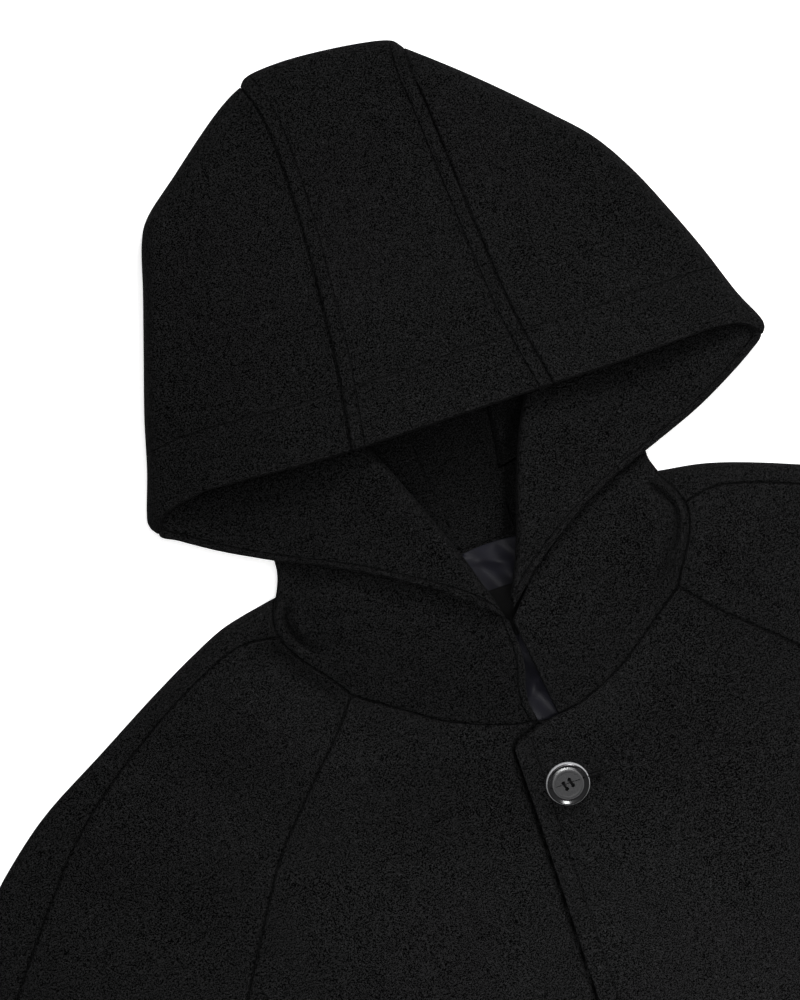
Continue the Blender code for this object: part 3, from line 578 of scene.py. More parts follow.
def sleeve_back_grid(side):
    """Points of a sleeve's back half, from the overarm seam round the outer fold to the seam beneath."""
    uppers, lowers = [], []
    for place, row in zip(SLEEVE_PLACES, spline(SLEEVE, SLEEVE_PLACES)):
        start, edge, back_end = row[0:2], row[2:4], row[4:6]
        on_fold = place >= ARMPIT - 1e-6
        seam = edge + (start - edge) * row[6] / np.linalg.norm(start - edge)
        upper = bow(section(seam, edge, SLEEVE_TOP_COLUMNS, 0.8 * FLAT, fold_end=True), start, edge, place)
        uppers.append(shifted(upper, side))
        lower = section(edge, back_end, 36, FLAT / 2, fold_start=True, fold_end=on_fold)
        lowers.append(shifted(lower, side)[1:])
    upper, lower = np.array(uppers), np.array(lowers)
    top = coat_top(upper[..., 0], upper[..., 1])
    top[:, -1] = FLAT / 2
    height = np.concatenate([top, coat_bottom(lower[..., 0], lower[..., 1])], axis=1)
    return np.concatenate([np.concatenate([upper, lower], axis=1), height[..., None]], axis=2)


def run_of(line):
    """How far along a line each of its points lies."""
    return np.concatenate([[0], np.cumsum(np.linalg.norm(np.diff(line, axis=0), axis=1))])


def points_at(at, run, line):
    """Points of a line at the given distances along it."""
    return np.stack([np.interp(at, run, column) for column in line.T], axis=1)


def resampled(line, count):
    """Points at even distances along a line."""
    run = run_of(line)
    return points_at(np.linspace(0, run[-1], count), run, line)


def neck_grid(side, front, sleeve_front, sleeve_back, back):
    """Points of the neck, whose rows run from the neck seam to its far edge under the hood."""
    ends = []
    for row, x in ((front[0], NECK[0][0]), (back[0], NECK[-1][0])):
        row = row[np.argsort(side * row[:, 0])]
        ends.append([side * x] + [np.interp(x, side * row[:, 0], row[:, k]) for k in (1, 2)])
    front = front[0][side * front[0][:, 0] > NECK[0][0] + 3]
    back = back[0][side * back[0][:, 0] > NECK[-1][0] + 3]
    back = back[np.argsort(-side * back[:, 0])]
    seam = np.concatenate([ends[:1], front, sleeve_front[0][::-1], sleeve_back[0], back, ends[1:]])
    seam = resampled(seam, 230)
    place = np.linspace(0, 1, len(seam))
    table = np.array(NECK, float)
    key = []
    for i, point in enumerate(shifted(table[:, 0:2], side)):
        lower = table[i, 4] < 2 and i > 5
        away = np.linalg.norm(seam[:, :2] - point, axis=1) + 200 * ((seam[:, 2] < 1) != lower)
        key.append(place[np.argmin(away)])
    key = np.maximum.accumulate(np.array(key) + np.arange(len(key)) * 1e-6)
    top_rows = np.column_stack([shifted(table[:, 2:4], side), table[:, 4]])
    top_rows[:3, 0] -= (3.6, 1.8, 0.6)
    top_rows[-1, 0] = 16.2 if side > 0 else -20.0
    top = spline(top_rows, np.interp(place, key, np.arange(len(key))))
    top[:, 2] = np.maximum(top[:, 2], 0)
    t = np.linspace(0, 1, 64)[:, None]
    swell = np.minimum(seam[:, 2], 18) / 18 * 3.0
    points = seam + (top - seam) * t[..., None]
    points[..., 2] += swell * np.sin(np.pi * t)
    bell = np.exp(-(((place - key[8]) / 0.09) ** 2))
    if side > 0:
        points[..., 0] -= bell * (5 * t + 5 * np.sin(np.pi * t))
    else:
        curl = np.interp(t, (0, 0.18, 0.35, 0.53, 0.72, 1), (0, -2, -0.8, 2.1, 3.0, 1.0))
        points[..., 0] += curl * np.exp(-((place / 0.05) ** 2))
        points[..., 0] += bell * 4.2 * np.sin(np.pi * np.minimum(t * 1.3, 1))
    x, y = points[..., 0], points[..., 1]
    upper = np.clip(seam[:, 2] / 12, 0, 1) ** 2
    away = distance(x, y, neck_line())
    points[..., 2] += upper * (ridge(x, y, away, True) - ridge(x, y, 0.0, True))
    return np.moveaxis(points, 0, 1)


HOOD_SHARES = np.concatenate(
    [np.linspace(0, 0.965, 84), 1 - 0.035 * (1 - np.cos(np.radians(np.linspace(90, 0, 9))))[1:]]
)


def hood_grid(outline, crown, under):
    """Points of a hood side, from the gusset over the crown and round the fold to the gusset beneath."""
    foot = np.array(HOOD_FOOT, float)
    brim = np.array(BRIM_LEFT if outline[0][0] > 0 else BRIM_RIGHT, float)
    shares = HOOD_SHARES[:-3]
    edges = spline(outline, shares * (len(outline) - 1))
    starts = spline(crown, shares * (len(crown) - 1))
    ends = spline(under[1:], shares * (len(under) - 2))
    uppers, lowers = [], []
    for start, edge, end, share in zip(starts, edges, ends, shares):
        upper = section(start, edge, CROWN_COLUMNS, HOOD_FOLD / 2, fold_end=True)
        t = (upper[:, 0] - upper[0, 0]) / (upper[-1, 0] - upper[0, 0])
        across = starts[0] + (edges[0] - starts[0]) * t[:, None]
        bend = np.interp(across[:, 0], brim[:, 0], brim[:, 1]) - across[:, 1]
        upper[:, 1] += bend * max(0.0, 1 - share * 4) ** 2
        uppers.append(upper)
        lower = section(edge, end, 44, HOOD_FOLD / 2, fold_start=True)
        t = (lower[:, 0] - edge[0]) / (end[0] - edge[0])
        across = edges[0] + (ends[0] - edges[0]) * t[:, None]
        bend = np.interp(np.abs(across[:, 0]), foot[:, 0], foot[:, 1]) - across[:, 1]
        lower[:, 1] += bend * smooth(t * 14) * max(0.0, 1 - share * 2.75) ** 2
        lowers.append(lower[1:])
    upper, lower = np.array(uppers), np.array(lowers)
    top = hood_top(upper[..., 0], upper[..., 1])
    top[:, -1] = HOOD_FOLD / 2
    height = np.concatenate([top, hood_floor(lower[..., 0], lower[..., 1])], axis=1)
    return np.concatenate([np.concatenate([upper, lower], axis=1), height[..., None]], axis=2)


def gusset_grid():
    """Points of the gusset, whose rows run from the brim over the top to the back of the neck."""
    shares = HOOD_SHARES
    top = finer(GUSSET_TOP, 0.125)
    sides = []
    for crown, under in ((CROWN_RIGHT, UNDER_RIGHT), (CROWN_LEFT, UNDER_LEFT)):
        over = spline(crown, shares * (len(crown) - 1))
        below = spline(under[1:], shares * (len(under) - 2))[::-1]
        neck = spline(under[:2], np.linspace(1, 0, 13)[1:])
        sides.append(np.concatenate([over, below[1:], neck]))
    fold = len(shares) - 1
    around = np.concatenate([shares, shares[::-1][1:], np.zeros(12)])
    near = smooth(around * 4 - 3)[:, None]
    plans = []
    for share in np.linspace(0, 1, 49):
        plan = sides[0] + (sides[1] - sides[0]) * share
        plan = plan + (top[int(round(share * (len(top) - 1)))] - plan[fold]) * near
        plans.append(plan)
    plan = np.array(plans)
    height = hood_top(plan[..., 0], plan[..., 1])
    height[:, fold] = HOOD_FOLD / 2
    height[:, fold + 1 :] = hood_floor(plan[:, fold + 1 :, 0], plan[:, fold + 1 :, 1])
    return np.concatenate([plan, height[..., None]], axis=2)


def facing_grid(table, folds):
    """Points of a turned-out facing, whose rows run from its free edge over the roll to its foot."""
    rows = []
    fine = finer(table, 0.08)
    for k, row in enumerate(fine):
        along = k / (len(fine) - 1)
        brim, roll, foot = row[0:3], row[3:6], row[6:9]
        into, out = brim - roll, foot - roll
        before = roll + into * min(0.6, ROLL_RADIUS / np.linalg.norm(into))
        after = roll + out * min(0.6, ROLL_RADIUS / np.linalg.norm(out))
        t = np.linspace(0, 1, 26)[:-1, None]
        flat = brim + (before - brim) * t
        for place, across, slant, height, width in folds:
            away = along - place - slant * (t[:, 0] - across)
            flat[:, 2] += height * np.exp(-((away / width) ** 2)) * np.sin(np.pi * t[:, 0]) ** 0.7
        t = np.linspace(0, 1, 15)[:, None]
        turn = before * (1 - t) ** 2 + 2 * roll * t * (1 - t) + after * t * t
        t = np.linspace(0, 1, 11)[1:, None]
        rows.append(np.concatenate([flat, turn, after + (foot - after) * t]))
    return np.array(rows)


def lining_grid():
    """Points of the lining at the back of the neck, with the slack that shows in it."""
    x, y = np.meshgrid(np.linspace(-80, 80, 121), np.linspace(-60, 97, 120))
    y = np.minimum(y, 97 - (x / 80) ** 2 * 30)
    slack = 1.6 * np.sin((x + 0.45 * y) / 5.5 + 0.6) ** 2 + 1.3 * np.exp(-(((y - 87 + 0.35 * x) / 3.5) ** 2))
    slack = slack + 1.2 * np.exp(-(((y - 20 - x) / 4) ** 2))
    z = CLOTH + 1.2 + slack * smooth((y + 50) / 40) * smooth((98 - y) / 5)
    z = z + 7 * np.exp(-(((x + 2) / 22) ** 2 + ((y - 6) / 28) ** 2))
    return np.stack([x, y, z], axis=2)


def label_grid():
    """Points of the plain label sewn on the lining."""
    x, y = np.meshgrid(np.linspace(-30, 30, 31), np.linspace(46, 73, 15))
    return np.stack([x, y, 6.6 + 0.4 * np.sin(x / 9) + 0.2 * np.sin(y / 5)], axis=2)


# Mesh building


def placed(points):
    """Points of the tables, in metres and in the coat's own frame."""
    return (np.asarray(points, float) + (0, MIDDLE_FROM_NECK, 0)) * MM


def unit(vectors):
    """Vectors of length 1."""
    return vectors / np.maximum(np.linalg.norm(vectors, axis=-1, keepdims=True), 1e-9)


def mesh_object(name, points, faces, finish, fields=None):
    """A new object from points in metres, faces and fields kept on its points."""
    data = bpy.data.meshes.new(name)
    data.from_pydata(np.asarray(points, float).tolist(), [], faces)
    for field, values in (fields or {}).items():
        layer = data.attributes.new(field, "FLOAT", "POINT")
        layer.data.foreach_set("value", np.asarray(values, np.float32))
    data.validate()
    data.shade_smooth()
    data.materials.append(finish)
    made = bpy.data.objects.new(name, data)
    bpy.context.scene.collection.objects.link(made)
    return made


def shell(name, grid, thickness, finish, up=(0, True), fold_end=(), seams=(), rounding=0.8, fields=None):
    """A closed wall of cloth with rounded edges. grid holds its outer surface in millimetres.

    up says whether the outer surface faces up at that column. fold_end lists the columns that lie on a
    fold from the armpit on. seams lists the columns that meet another piece of the upper layer.
    """
    rows, columns = grid.shape[:2]
    fields = {key: np.broadcast_to(value, (rows, columns)).copy() for key, value in (fields or {}).items()}
    for key in ("seam", "stitch", "hem", "border"):
        fields.setdefault(key, np.full((rows, columns), FAR))
    normals = unit(np.cross(np.gradient(grid, axis=0), np.gradient(grid, axis=1)))
    sign = np.sign(normals[:, up[0], 2].mean())
    for seam in seams:
        x, y = grid[:, seam, 0], grid[:, seam, 1]
        slope_x = (coat_top(x + 2, y) - coat_top(x - 2, y)) / 4
        slope_y = (coat_top(x, y + 2) - coat_top(x, y - 2)) / 4
        normals[:, seam] = sign * unit(np.stack([-slope_x, -slope_y, np.ones(rows)], axis=1))
    soft = np.broadcast_to(rounding, (rows, columns)).copy()
    armpit_row = len(UPPER_ROWS) - 1
    if rows < len(SLEEVE_PLACES):
        armpit_row //= 2  # the back has every second row
    for column in fold_end:
        level = np.zeros((rows, columns), bool)
        level[armpit_row:, column] = True
        normals = np.where(level[..., None], unit(normals * (1, 1, 0)), normals)
        soft[level] = 0.12
    if (sign > 0) != up[1]:
        grid, normals, soft = grid[::-1], -normals[::-1], soft[::-1]
        thickness = np.ravel(thickness)[::-1]
        fields = {key: value[::-1] for key, value in fields.items()}
    rim = [(i, 0) for i in range(rows)] + [(rows - 1, j) for j in range(1, columns)]
    rim += [(i, columns - 1) for i in range(rows - 2, -1, -1)]
    rim += [(0, j) for j in range(columns - 2, 0, -1)]
    rim = np.array(rim)
    i, j = rim.T
    edge, normal, r = grid[i, j], normals[i, j], soft[i, j][:, None]
    inward = np.zeros((len(rim), 3))
    sides = ((i == 0, 1, 0), (i == rows - 1, -1, 0), (j == 0, 0, 1), (j == columns - 1, 0, -1))
    for on_edge, di, dj in sides:
        step = unit(grid[np.clip(i + di, 0, rows - 1), np.clip(j + dj, 0, columns - 1)] - edge)
        inward += step * on_edge[:, None]
    inward = unit(inward - normal * (inward * normal).sum(1, keepdims=True))
    outer = grid.copy()
    outer[i, j] = edge + inward * r
    thick = np.broadcast_to(np.reshape(thickness, (-1, 1, 1)), (rows, columns, 1))
    inner = grid - normals * thick
    thickness = thick[i, j]
    inner[i, j] = edge + inward * r - normal * thickness
    rings = [
        edge + inward * 0.29 * r - normal * 0.29 * r,
        edge - normal * r,
        edge - normal * (thickness - r),
        edge + inward * 0.29 * r - normal * (thickness - 0.29 * r),
    ]
    count = rows * columns
    points = np.concatenate([outer.reshape(-1, 3), inner.reshape(-1, 3)] + rings)
    index = np.arange(count).reshape(rows, columns)
    quads = np.stack([index[:-1, :-1], index[1:, :-1], index[1:, 1:], index[:-1, 1:]], axis=-1)
    quads = quads.reshape(-1, 4)
    loops = [index[i, j]] + [2 * count + k * len(rim) + np.arange(len(rim)) for k in range(4)]
    loops.append(index[i, j] + count)
    faces = [quads, quads[:, ::-1] + count]
    for upper, lower in zip(loops, loops[1:]):
        faces.append(np.stack([np.roll(upper, -1), upper, lower, np.roll(lower, -1)], axis=1))
    faces = np.concatenate(faces).tolist()
    kept = {}
    for key, value in fields.items():
        rim_value = value[i, j]
        kept[key] = np.concatenate([value.reshape(-1), value.reshape(-1)] + [rim_value] * 4)
    return mesh_object(name, placed(points), faces, finish, kept)


def dress(made, node):
    """Tie a cloth piece to the frame in place of its solid."""
    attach(made, "root")
    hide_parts(node)


def clear_selection():
    """Nothing selected and nothing in edit mode."""
    if bpy.context.object and bpy.context.mode != "OBJECT":
        bpy.ops.object.mode_set(mode="OBJECT")
    bpy.ops.object.select_all(action="DESELECT")


def activate(made):
    """One object selected and active."""
    clear_selection()
    bpy.context.view_layer.objects.active = made
    made.select_set(True)


def cut_away(made, cutters):
    """Subtract the cutters from a piece and remove them."""
    for cutter in cutters:
        cut = made.modifiers.new("cut", "BOOLEAN")
        cut.operation, cut.solver, cut.object = "DIFFERENCE", "EXACT", cutter
        activate(made)
        bpy.ops.object.modifier_apply(modifier=cut.name)
        bpy.data.objects.remove(cutter)


def stitch_shape():
    """Points and faces of one stitch, 1 long in x and 1 wide, frayed and sunk at both ends."""
    clear_selection()
    bpy.ops.mesh.primitive_cylinder_add(vertices=6, radius=0.5, depth=1, rotation=(0, math.pi / 2, 0))
    made = bpy.context.object
    bpy.ops.object.transform_apply(location=False, rotation=True, scale=True)
    bpy.ops.object.mode_set(mode="EDIT")
    bpy.ops.mesh.select_all(action="SELECT")
    bpy.ops.mesh.subdivide(number_cuts=1)
    bpy.ops.object.mode_set(mode="OBJECT")
    points = np.array([v.co for v in made.data.vertices])
    ends = np.abs(points[:, 0]) > 0.49
    between = ends & (np.hypot(points[:, 1], points[:, 2]) < 0.45)
    points[ends & ~between, 0] *= 0.62
    points[between, 2] -= 0.5
    faces = [list(face.vertices) for face in made.data.polygons]
    bpy.data.objects.remove(made)
    return points, faces


def sew(name, lines, settings):
    """Rows of stitches as one mesh. Each line holds points and upward normals, in millimetres."""
    shape, faces = stitch_shape()
    length, width = settings.stitch_length / MM, settings.stitch_width / MM
    points, polygons = [], []
    for line, normals in lines:
        run = run_of(line)
        count = max(2, int(run[-1] / length))
        at = (np.arange(count) + 0.5) * run[-1] / count
        middle = points_at(at, run, line)
        up = unit(points_at(at, run, normals))
        ahead = points_at(np.minimum(at + 0.8, run[-1]), run, line)
        along = unit(ahead - points_at(np.maximum(at - 0.8, 0), run, line))
        over = unit(np.cross(up, along))
        up = np.cross(along, over)
        size = np.array([length * 0.86, width, width])
        for m, a, o, u in zip(middle - up * STITCH_SINK * width, along, over, up):
            base = len(points) * len(shape)
            turned = np.outer(shape[:, 0] * size[0], a) + np.outer(shape[:, 1] * size[1], o)
            points.append(m + turned + np.outer(shape[:, 2] * size[2], u))
            polygons.extend([[base + v for v in face] for face in faces])
    made = mesh_object(name, placed(np.concatenate(points)), polygons, thread(settings))
    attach(made, "root")


def on_surface(plan, height):
    """Points and normals on a height function above plan points."""
    x, y = plan[:, 0], plan[:, 1]
    slope_x = (height(x + 1, y) - height(x - 1, y)) / 2
    slope_y = (height(x, y + 1) - height(x, y - 1)) / 2
    normals = unit(np.stack([-slope_x, -slope_y, np.ones(len(x))], axis=1))
    return np.column_stack([plan, height(x, y)]), normals


def offset(line, away):
    """A plan line moved sideways, to its left for a positive distance."""
    along = unit(np.gradient(np.asarray(line, float), axis=0))
    return line + np.stack([-along[:, 1], along[:, 0]], axis=1) * away


# Finishes


class Value:
    """A number that changes over a surface, for writing its sums as Python sums."""

    def __init__(self, nodes, socket):
        self.nodes, self.socket = nodes, socket

    def sum(self, operation, *others):
        """A Math node fed with this value and others."""
        inputs = dict(enumerate([self.socket] + [getattr(o, "socket", o) for o in others]))
        node = self.nodes.add("ShaderNodeMath", {"operation": operation}, inputs)
        return Value(self.nodes, node.outputs[0])

    def __add__(self, other):
        return self.sum("ADD", other)

    def __radd__(self, other):
        return self.sum("ADD", other)

    def __sub__(self, other):
        return self.sum("SUBTRACT", other)

    def __rsub__(self, other):
        return (self * -1).sum("ADD", other)

    def __mul__(self, other):
        return self.sum("MULTIPLY", other)

    def __rmul__(self, other):
        return self.sum("MULTIPLY", other)

    def __truediv__(self, other):
        return self.sum("DIVIDE", other)

    def ramp(self, low, high):
        """0 below low and 1 above high, with level ends."""
        node = self.nodes.add(
            "ShaderNodeMapRange",
            {"interpolation_type": "SMOOTHSTEP"},
            {0: self.socket, 1: low, 2: high, 3: 0.0, 4: 1.0},
        )
        return Value(self.nodes, node.outputs[0])

    def dip(self, middle, width):
        """1 at the middle, falling to 0 a width away."""
        away = (self - middle).sum("ABSOLUTE")
        return 1 - away.ramp(0.0, width)


class Finish:
    """A material under construction."""

    def __init__(self, name):
        self.material = bpy.data.materials.new(name)
        self.material.use_nodes = True
        self.tree = self.material.node_tree
        self.shader = self.tree.nodes["Principled BSDF"]

    def add(self, kind, settings=None, inputs=None):
        """A node of a kind, with its settings made and its sockets filled or linked."""
        node = self.tree.nodes.new(kind)
        for key, value in (settings or {}).items():
            setattr(node, key, value)
        for key, value in (inputs or {}).items():
            value = getattr(value, "socket", value)
            if isinstance(value, bpy.types.NodeSocket):
                self.tree.links.new(value, node.inputs[key])
            else:
                node.inputs[key].default_value = value
        return node

    def place(self):
        """Object coordinates."""
        return self.add("ShaderNodeTexCoord").outputs["Object"]

    def noise(self, scale, detail=2.0, roughness=0.5, distortion=0.0, at=None):
        """Noise around a half."""
        node = self.add(
            "ShaderNodeTexNoise",
            None,
            {
                "Vector": at or self.place(), "Scale": scale, "Detail": detail, "Roughness": roughness,
                "Distortion": distortion,
            },
        )
        return Value(self, node.outputs[0])

    def field(self, name):
        """A field kept on the mesh's points."""
        node = self.add("ShaderNodeAttribute", {"attribute_name": name})
        return Value(self, node.outputs["Fac"])

    def mix(self, share, first, second):
        """A colour between two, which may be linked."""
        node = self.add("ShaderNodeMix", {"data_type": "RGBA"}, {0: share, 6: first, 7: second})
        return node.outputs[2]

    def feed(self, socket, value):
        """Link or set one of the shader's sockets."""
        value = getattr(value, "socket", value)
        if isinstance(value, bpy.types.NodeSocket):
            self.tree.links.new(value, self.shader.inputs[socket])
        else:
            self.shader.inputs[socket].default_value = value

    def bump(self, height, depth, strength=1.0):
        """Relief from a height of 0 to 1, depth metres deep."""
        node = self.add(
            "ShaderNodeBump", None, {"Height": height, "Distance": depth, "Strength": strength}
        )
        self.feed("Normal", node.outputs[0])


def rgba(colour, times=1.0):
    """A colour for a socket."""
    return (*(c * times for c in colour), 1.0)


def melton(settings):
    """Felted wool: curled fibres, light flecks, dark seam and stitching grooves with painted shade in some
    creases and crevices, and a painted highlight along free edges.
    """
    finish = Finish("melton_black")
    curl = finish.noise(1480, 1.0, 0.6, 0.5)
    fibre = finish.noise(2300, 0.0, 0.5, 0.3)
    clump = finish.noise(170, 3.0, 0.6, 0.4)
    broad = finish.noise(9, 2.0, 0.5)
    fleck = finish.noise(1250, 0.0, 0.5, 1.5).ramp(0.70, 0.80)
    grain = curl * 0.72 + fibre * 0.28
    shade = grain.ramp(0.42, 0.585) * (clump * 0.4 + 0.8) + (broad - 0.5) * 0.25
    seam, stitch, hem, border = (finish.field(f) for f in ("seam", "stitch", "hem", "border"))
    # The seam and stitch fields darken real seams and stitching. They also paint shade into the crease
    # inside the neck's ridge, the deep place beside the left facing's roll and the crevice along the upper
    # front's edge.
    stitching_and_painted_shadow = stitch.dip(0.0, 0.8) + hem.dip(0.0, 0.8) * 0.8
    seams_stitching_and_painted_shade = seam.dip(0.0, 0.85) * 0.55 + stitching_and_painted_shadow * 0.5
    # Painted highlight: free edges are lightened towards the fleck colour, as if they caught the light.
    painted_edge_highlight = border.dip(0.0, 1.8) * 0.07
    dark = finish.mix(shade, rgba(settings.wool, 0.04), rgba(settings.wool, 2.62))
    fibres = finish.mix(fleck * 0.8, dark, rgba(settings.wool_fleck_and_edge_highlight))
    fibres_with_edge_highlight = finish.mix(painted_edge_highlight, fibres, rgba(settings.wool_fleck_and_edge_highlight, 0.7))
    finish.feed("Base Color", finish.mix(seams_stitching_and_painted_shade, fibres_with_edge_highlight, rgba(settings.wool, 0.1)))
    finish.feed("Roughness", 0.98)
    finish.feed("Specular IOR Level", 0.006)
    finish.feed("Sheen Weight", 0.006)
    finish.feed("Sheen Roughness", 0.4)
    height = grain * 0.9 + clump * 0.5 - seam.dip(0.0, 1.6) * 1.0 - stitching_and_painted_shadow * 1.6
    finish.bump(height, settings.grain)
    return finish.material


def satin(settings):
    """Navy satin lining with a fine diagonal weave."""
    finish = Finish("satin_navy")
    weave = finish.add(
        "ShaderNodeTexWave",
        {"wave_type": "BANDS", "bands_direction": "DIAGONAL"},
        {"Vector": finish.place(), "Scale": 620.0, "Distortion": 0.6, "Detail": 1.0},
    )
    weave = Value(finish, weave.outputs[0])
    cloud = finish.noise(70, 2.0, 0.5).ramp(0.3, 0.7)
    finish.feed("Base Color", finish.mix(cloud, rgba(settings.satin, 0.7), rgba(settings.satin, 1.3)))
    finish.feed("Roughness", weave * 0.08 + 0.36)
    finish.feed("Specular IOR Level", 0.05)
    finish.bump(weave, 0.00005, 0.5)
    return finish.material


def label_finish(settings):
    """Plain black woven label."""
    finish = Finish("label_black")
    weave = finish.noise(2400, 1.0, 0.5)
    finish.feed("Base Color", finish.mix(weave, rgba(settings.wool, 0.4), rgba(settings.wool, 1.6)))
    finish.feed("Roughness", 0.7)
    finish.feed("Specular IOR Level", 0.03)
    finish.bump(weave, 0.00006, 0.5)
    return finish.material


def thread_finish(settings):
    """Twisted sewing thread."""
    finish = Finish("thread_black")
    twist = finish.noise(3200, 2.0, 0.6, 0.5)
    finish.feed("Base Color", finish.mix(twist, rgba(settings.thread, 0.5), rgba(settings.thread, 1.8)))
    finish.feed("Roughness", 0.8)
    finish.feed("Specular IOR Level", 0.08)
    finish.bump(twist, 0.00012, 0.6)
    return finish.material


def button_finish(settings):
    """Polished grey button: a rim painted light as its highlight, a dark ring and a matt middle."""
    finish = Finish("button_grey")
    radius = finish.field("radius")
    swirl = finish.noise(330, 3.0, 0.6, 1.2).ramp(0.35, 0.7)
    scratch = finish.noise(2600, 2.0, 0.7)
    ring = radius.ramp(0.70, 0.73) * (1 - radius.ramp(0.94, 0.96))
    # Painted highlight: the light grey on the rim, and faintly at the inner edge of the dark ring, stands in
    # for light caught by the polished edges.
    line = radius.ramp(0.94, 0.97) + radius.dip(0.69, 0.03) * 0.12
    face = finish.mix(swirl, rgba(settings.button_face, 0.36), rgba(settings.button_face, 0.5))
    body = finish.mix(ring, face, rgba(settings.button_ring))
    finish.feed("Base Color", finish.mix(line, body, (0.38, 0.38, 0.39, 1.0)))
    finish.feed("Roughness", 0.42 - radius.ramp(0.68, 0.76) * 0.25 + scratch * 0.06)
    finish.feed("Specular IOR Level", 0.5)
    finish.feed("Coat Roughness", 0.22)
    finish.feed("Coat Weight", radius.ramp(0.68, 0.76) * 0.7)
    finish.bump(scratch, 0.00002, 0.4)
    return finish.material


def floor_finish():
    """Plain pale paper."""
    finish = Finish("floor_paper")
    tone = finish.noise(6, 3.0, 0.5)
    finish.feed("Base Color", finish.mix(tone, (0.86, 0.86, 0.86, 1.0), (0.90, 0.90, 0.90, 1.0)))
    finish.feed("Roughness", 0.9)
    finish.feed("Specular IOR Level", 0.1)
    finish.feed("Emission Color", (1.0, 1.0, 1.0, 1.0))
    finish.feed("Emission Strength", 0.55)
    return finish.material


WOOL_FINISH = {}  # the finishes that several pieces share


def wool(settings):
    """The coat's melton, made once."""
    if "melton" not in WOOL_FINISH:
        WOOL_FINISH["melton"] = melton(settings)
        WOOL_FINISH["thread"] = thread_finish(settings)
    return WOOL_FINISH["melton"]


def thread(settings):
    """The sewing thread, made once."""
    wool(settings)
    return WOOL_FINISH["thread"]


# Fields for seams, stitching and free edges

PANELS = {}  # grids of the pieces made so far, which later pieces are fitted to


def coat_fields(grid, raglans=True):
    """Distances from a grid's points to the seams of the upper layer."""
    x, y = grid[..., 0], grid[..., 1]
    lines = [neck_line(), overarm_line(1), overarm_line(-1)]
    if raglans:
        lines += [raglan_line(1), raglan_line(-1)]
    return {"seam": np.minimum(np.min([distance(x, y, line) for line in lines], axis=0), FAR)}


def rim_distance(grid, columns=(), rows=()):
    """Distance along the cloth from the given outer columns or rows."""
    away = np.full(grid.shape[:2], FAR)
    for axis, ends in ((1, columns), (0, rows)):
        run = np.cumsum(np.linalg.norm(np.diff(grid, axis=axis), axis=2), axis=axis)
        run = np.insert(run, 0, 0, axis=axis)
        for end in ends:
            away = np.minimum(away, run if end == 0 else np.take(run, [-1], axis=axis) - run)
    return away


def beside_edge(grid, away):
    """The line on a grid at a distance from its first column."""
    run = rim_distance(grid, (0,))
    return np.array([[np.interp(away, reach, c) for c in row.T] for reach, row in zip(run, grid)])


class COAT_OT_body(bpy.types.Operator):
    """Make the back and the two fronts"""

    bl_idname = "coat.body"
    bl_label = "Body"

    def execute(self, context):
        """Build the pieces."""
        settings = context.scene.coat
        grid = back_grid()
        PANELS["back"] = grid
        cloth = wool(settings)
        middle = grid.shape[1] // 2
        made = shell("coat_back", grid, CLOTH, cloth, up=(middle, False), fold_end=(0, -1), rounding=0.5)
        dress(made, "back")
        for side, word in ((1, "left"), (-1, "right")):
            grid = front_grid(side)
            PANELS["front", side] = grid
            fields = coat_fields(grid)
            edge = rim_distance(grid, (0,))
            fields["border"] = np.minimum(edge, rim_distance(grid, (), (-1,)))
            if side > 0:
                fields["hem"] = edge - STITCH_FROM_FRONT_EDGE
            else:
                # The lower front sinks along the upper front's edge, and the seam and stitch fields paint
                # shadow into that crevice.
                near = distance(grid[..., 0], grid[..., 1], FLAP_LINE)
                grid[..., 2] -= 2.4 * np.exp(-((near / 1.8) ** 2))
                fields["seam"] = np.minimum(fields["seam"], near * 0.5)
                fields["stitch"] = near * 0.42
            made = shell(
                f"coat_front_{word}", grid, CLOTH, cloth, fold_end=(-1,), seams=(-1,), rounding=0.5,
                fields=fields,
            )
            dress(made, f"front_{word}")
            if side > 0:
                cut_buttonholes(made, settings)
        return {"FINISHED"}


def front_surface(x, y):
    """Height of the upper front near its edge."""
    return coat_top(x, y) + front_lift(x)


def button_places(settings):
    """y of each button."""
    first, spacing = -settings.button_first / MM, settings.button_spacing / MM
    return [first - spacing * k for k in range(4)]


def cut_buttonholes(front, settings):
    """Cut the four slots through the upper front."""
    cutters = []
    for y in button_places(settings):
        clear_selection()
        x = BUTTONHOLE_END - BUTTONHOLE_LENGTH / 2
        z = float(front_surface(np.array([x]), np.array([y]))[0]) - CLOTH / 2
        bpy.ops.mesh.primitive_cube_add(size=1, location=placed((x, y, z)).tolist())
        slot = bpy.context.object
        slot.scale = (BUTTONHOLE_LENGTH * MM, BUTTONHOLE_WIDTH * MM, 12 * MM)
        bpy.ops.object.transform_apply(location=False, rotation=False, scale=True)
        cutters.append(slot)
    cut_away(front, cutters)


class COAT_OT_sleeves(bpy.types.Operator):
    """Make the front and back halves of both sleeves"""

    bl_idname = "coat.sleeves"
    bl_label = "Sleeves"

    def execute(self, context):
        """Build the pieces."""
        cloth = wool(context.scene.coat)
        for side, word in ((1, "left"), (-1, "right")):
            grid = sleeve_front_grid(side)
            PANELS["sleeve_front", side] = grid
            fields = coat_fields(grid)
            fields["border"] = rim_distance(grid, (), (-1,))
            made = shell(
                f"coat_sleeve_front_{word}", grid, CLOTH, cloth, fold_end=(-1,), seams=(0, -1), rounding=0.5,
                fields=fields,
            )
            dress(made, f"sleeve_front_{word}")
            grid = sleeve_back_grid(side)
            PANELS["sleeve_back", side] = grid
            fields = coat_fields(grid, False)
            fields["border"] = rim_distance(grid, (), (-1,))
            fields["seam"][:, SLEEVE_TOP_COLUMNS:] = FAR
            made = shell(
                f"coat_sleeve_back_{word}", grid, CLOTH, cloth, fold_end=(-1,), seams=(0,), rounding=0.5,
                fields=fields,
            )
            dress(made, f"sleeve_back_{word}")
        return {"FINISHED"}


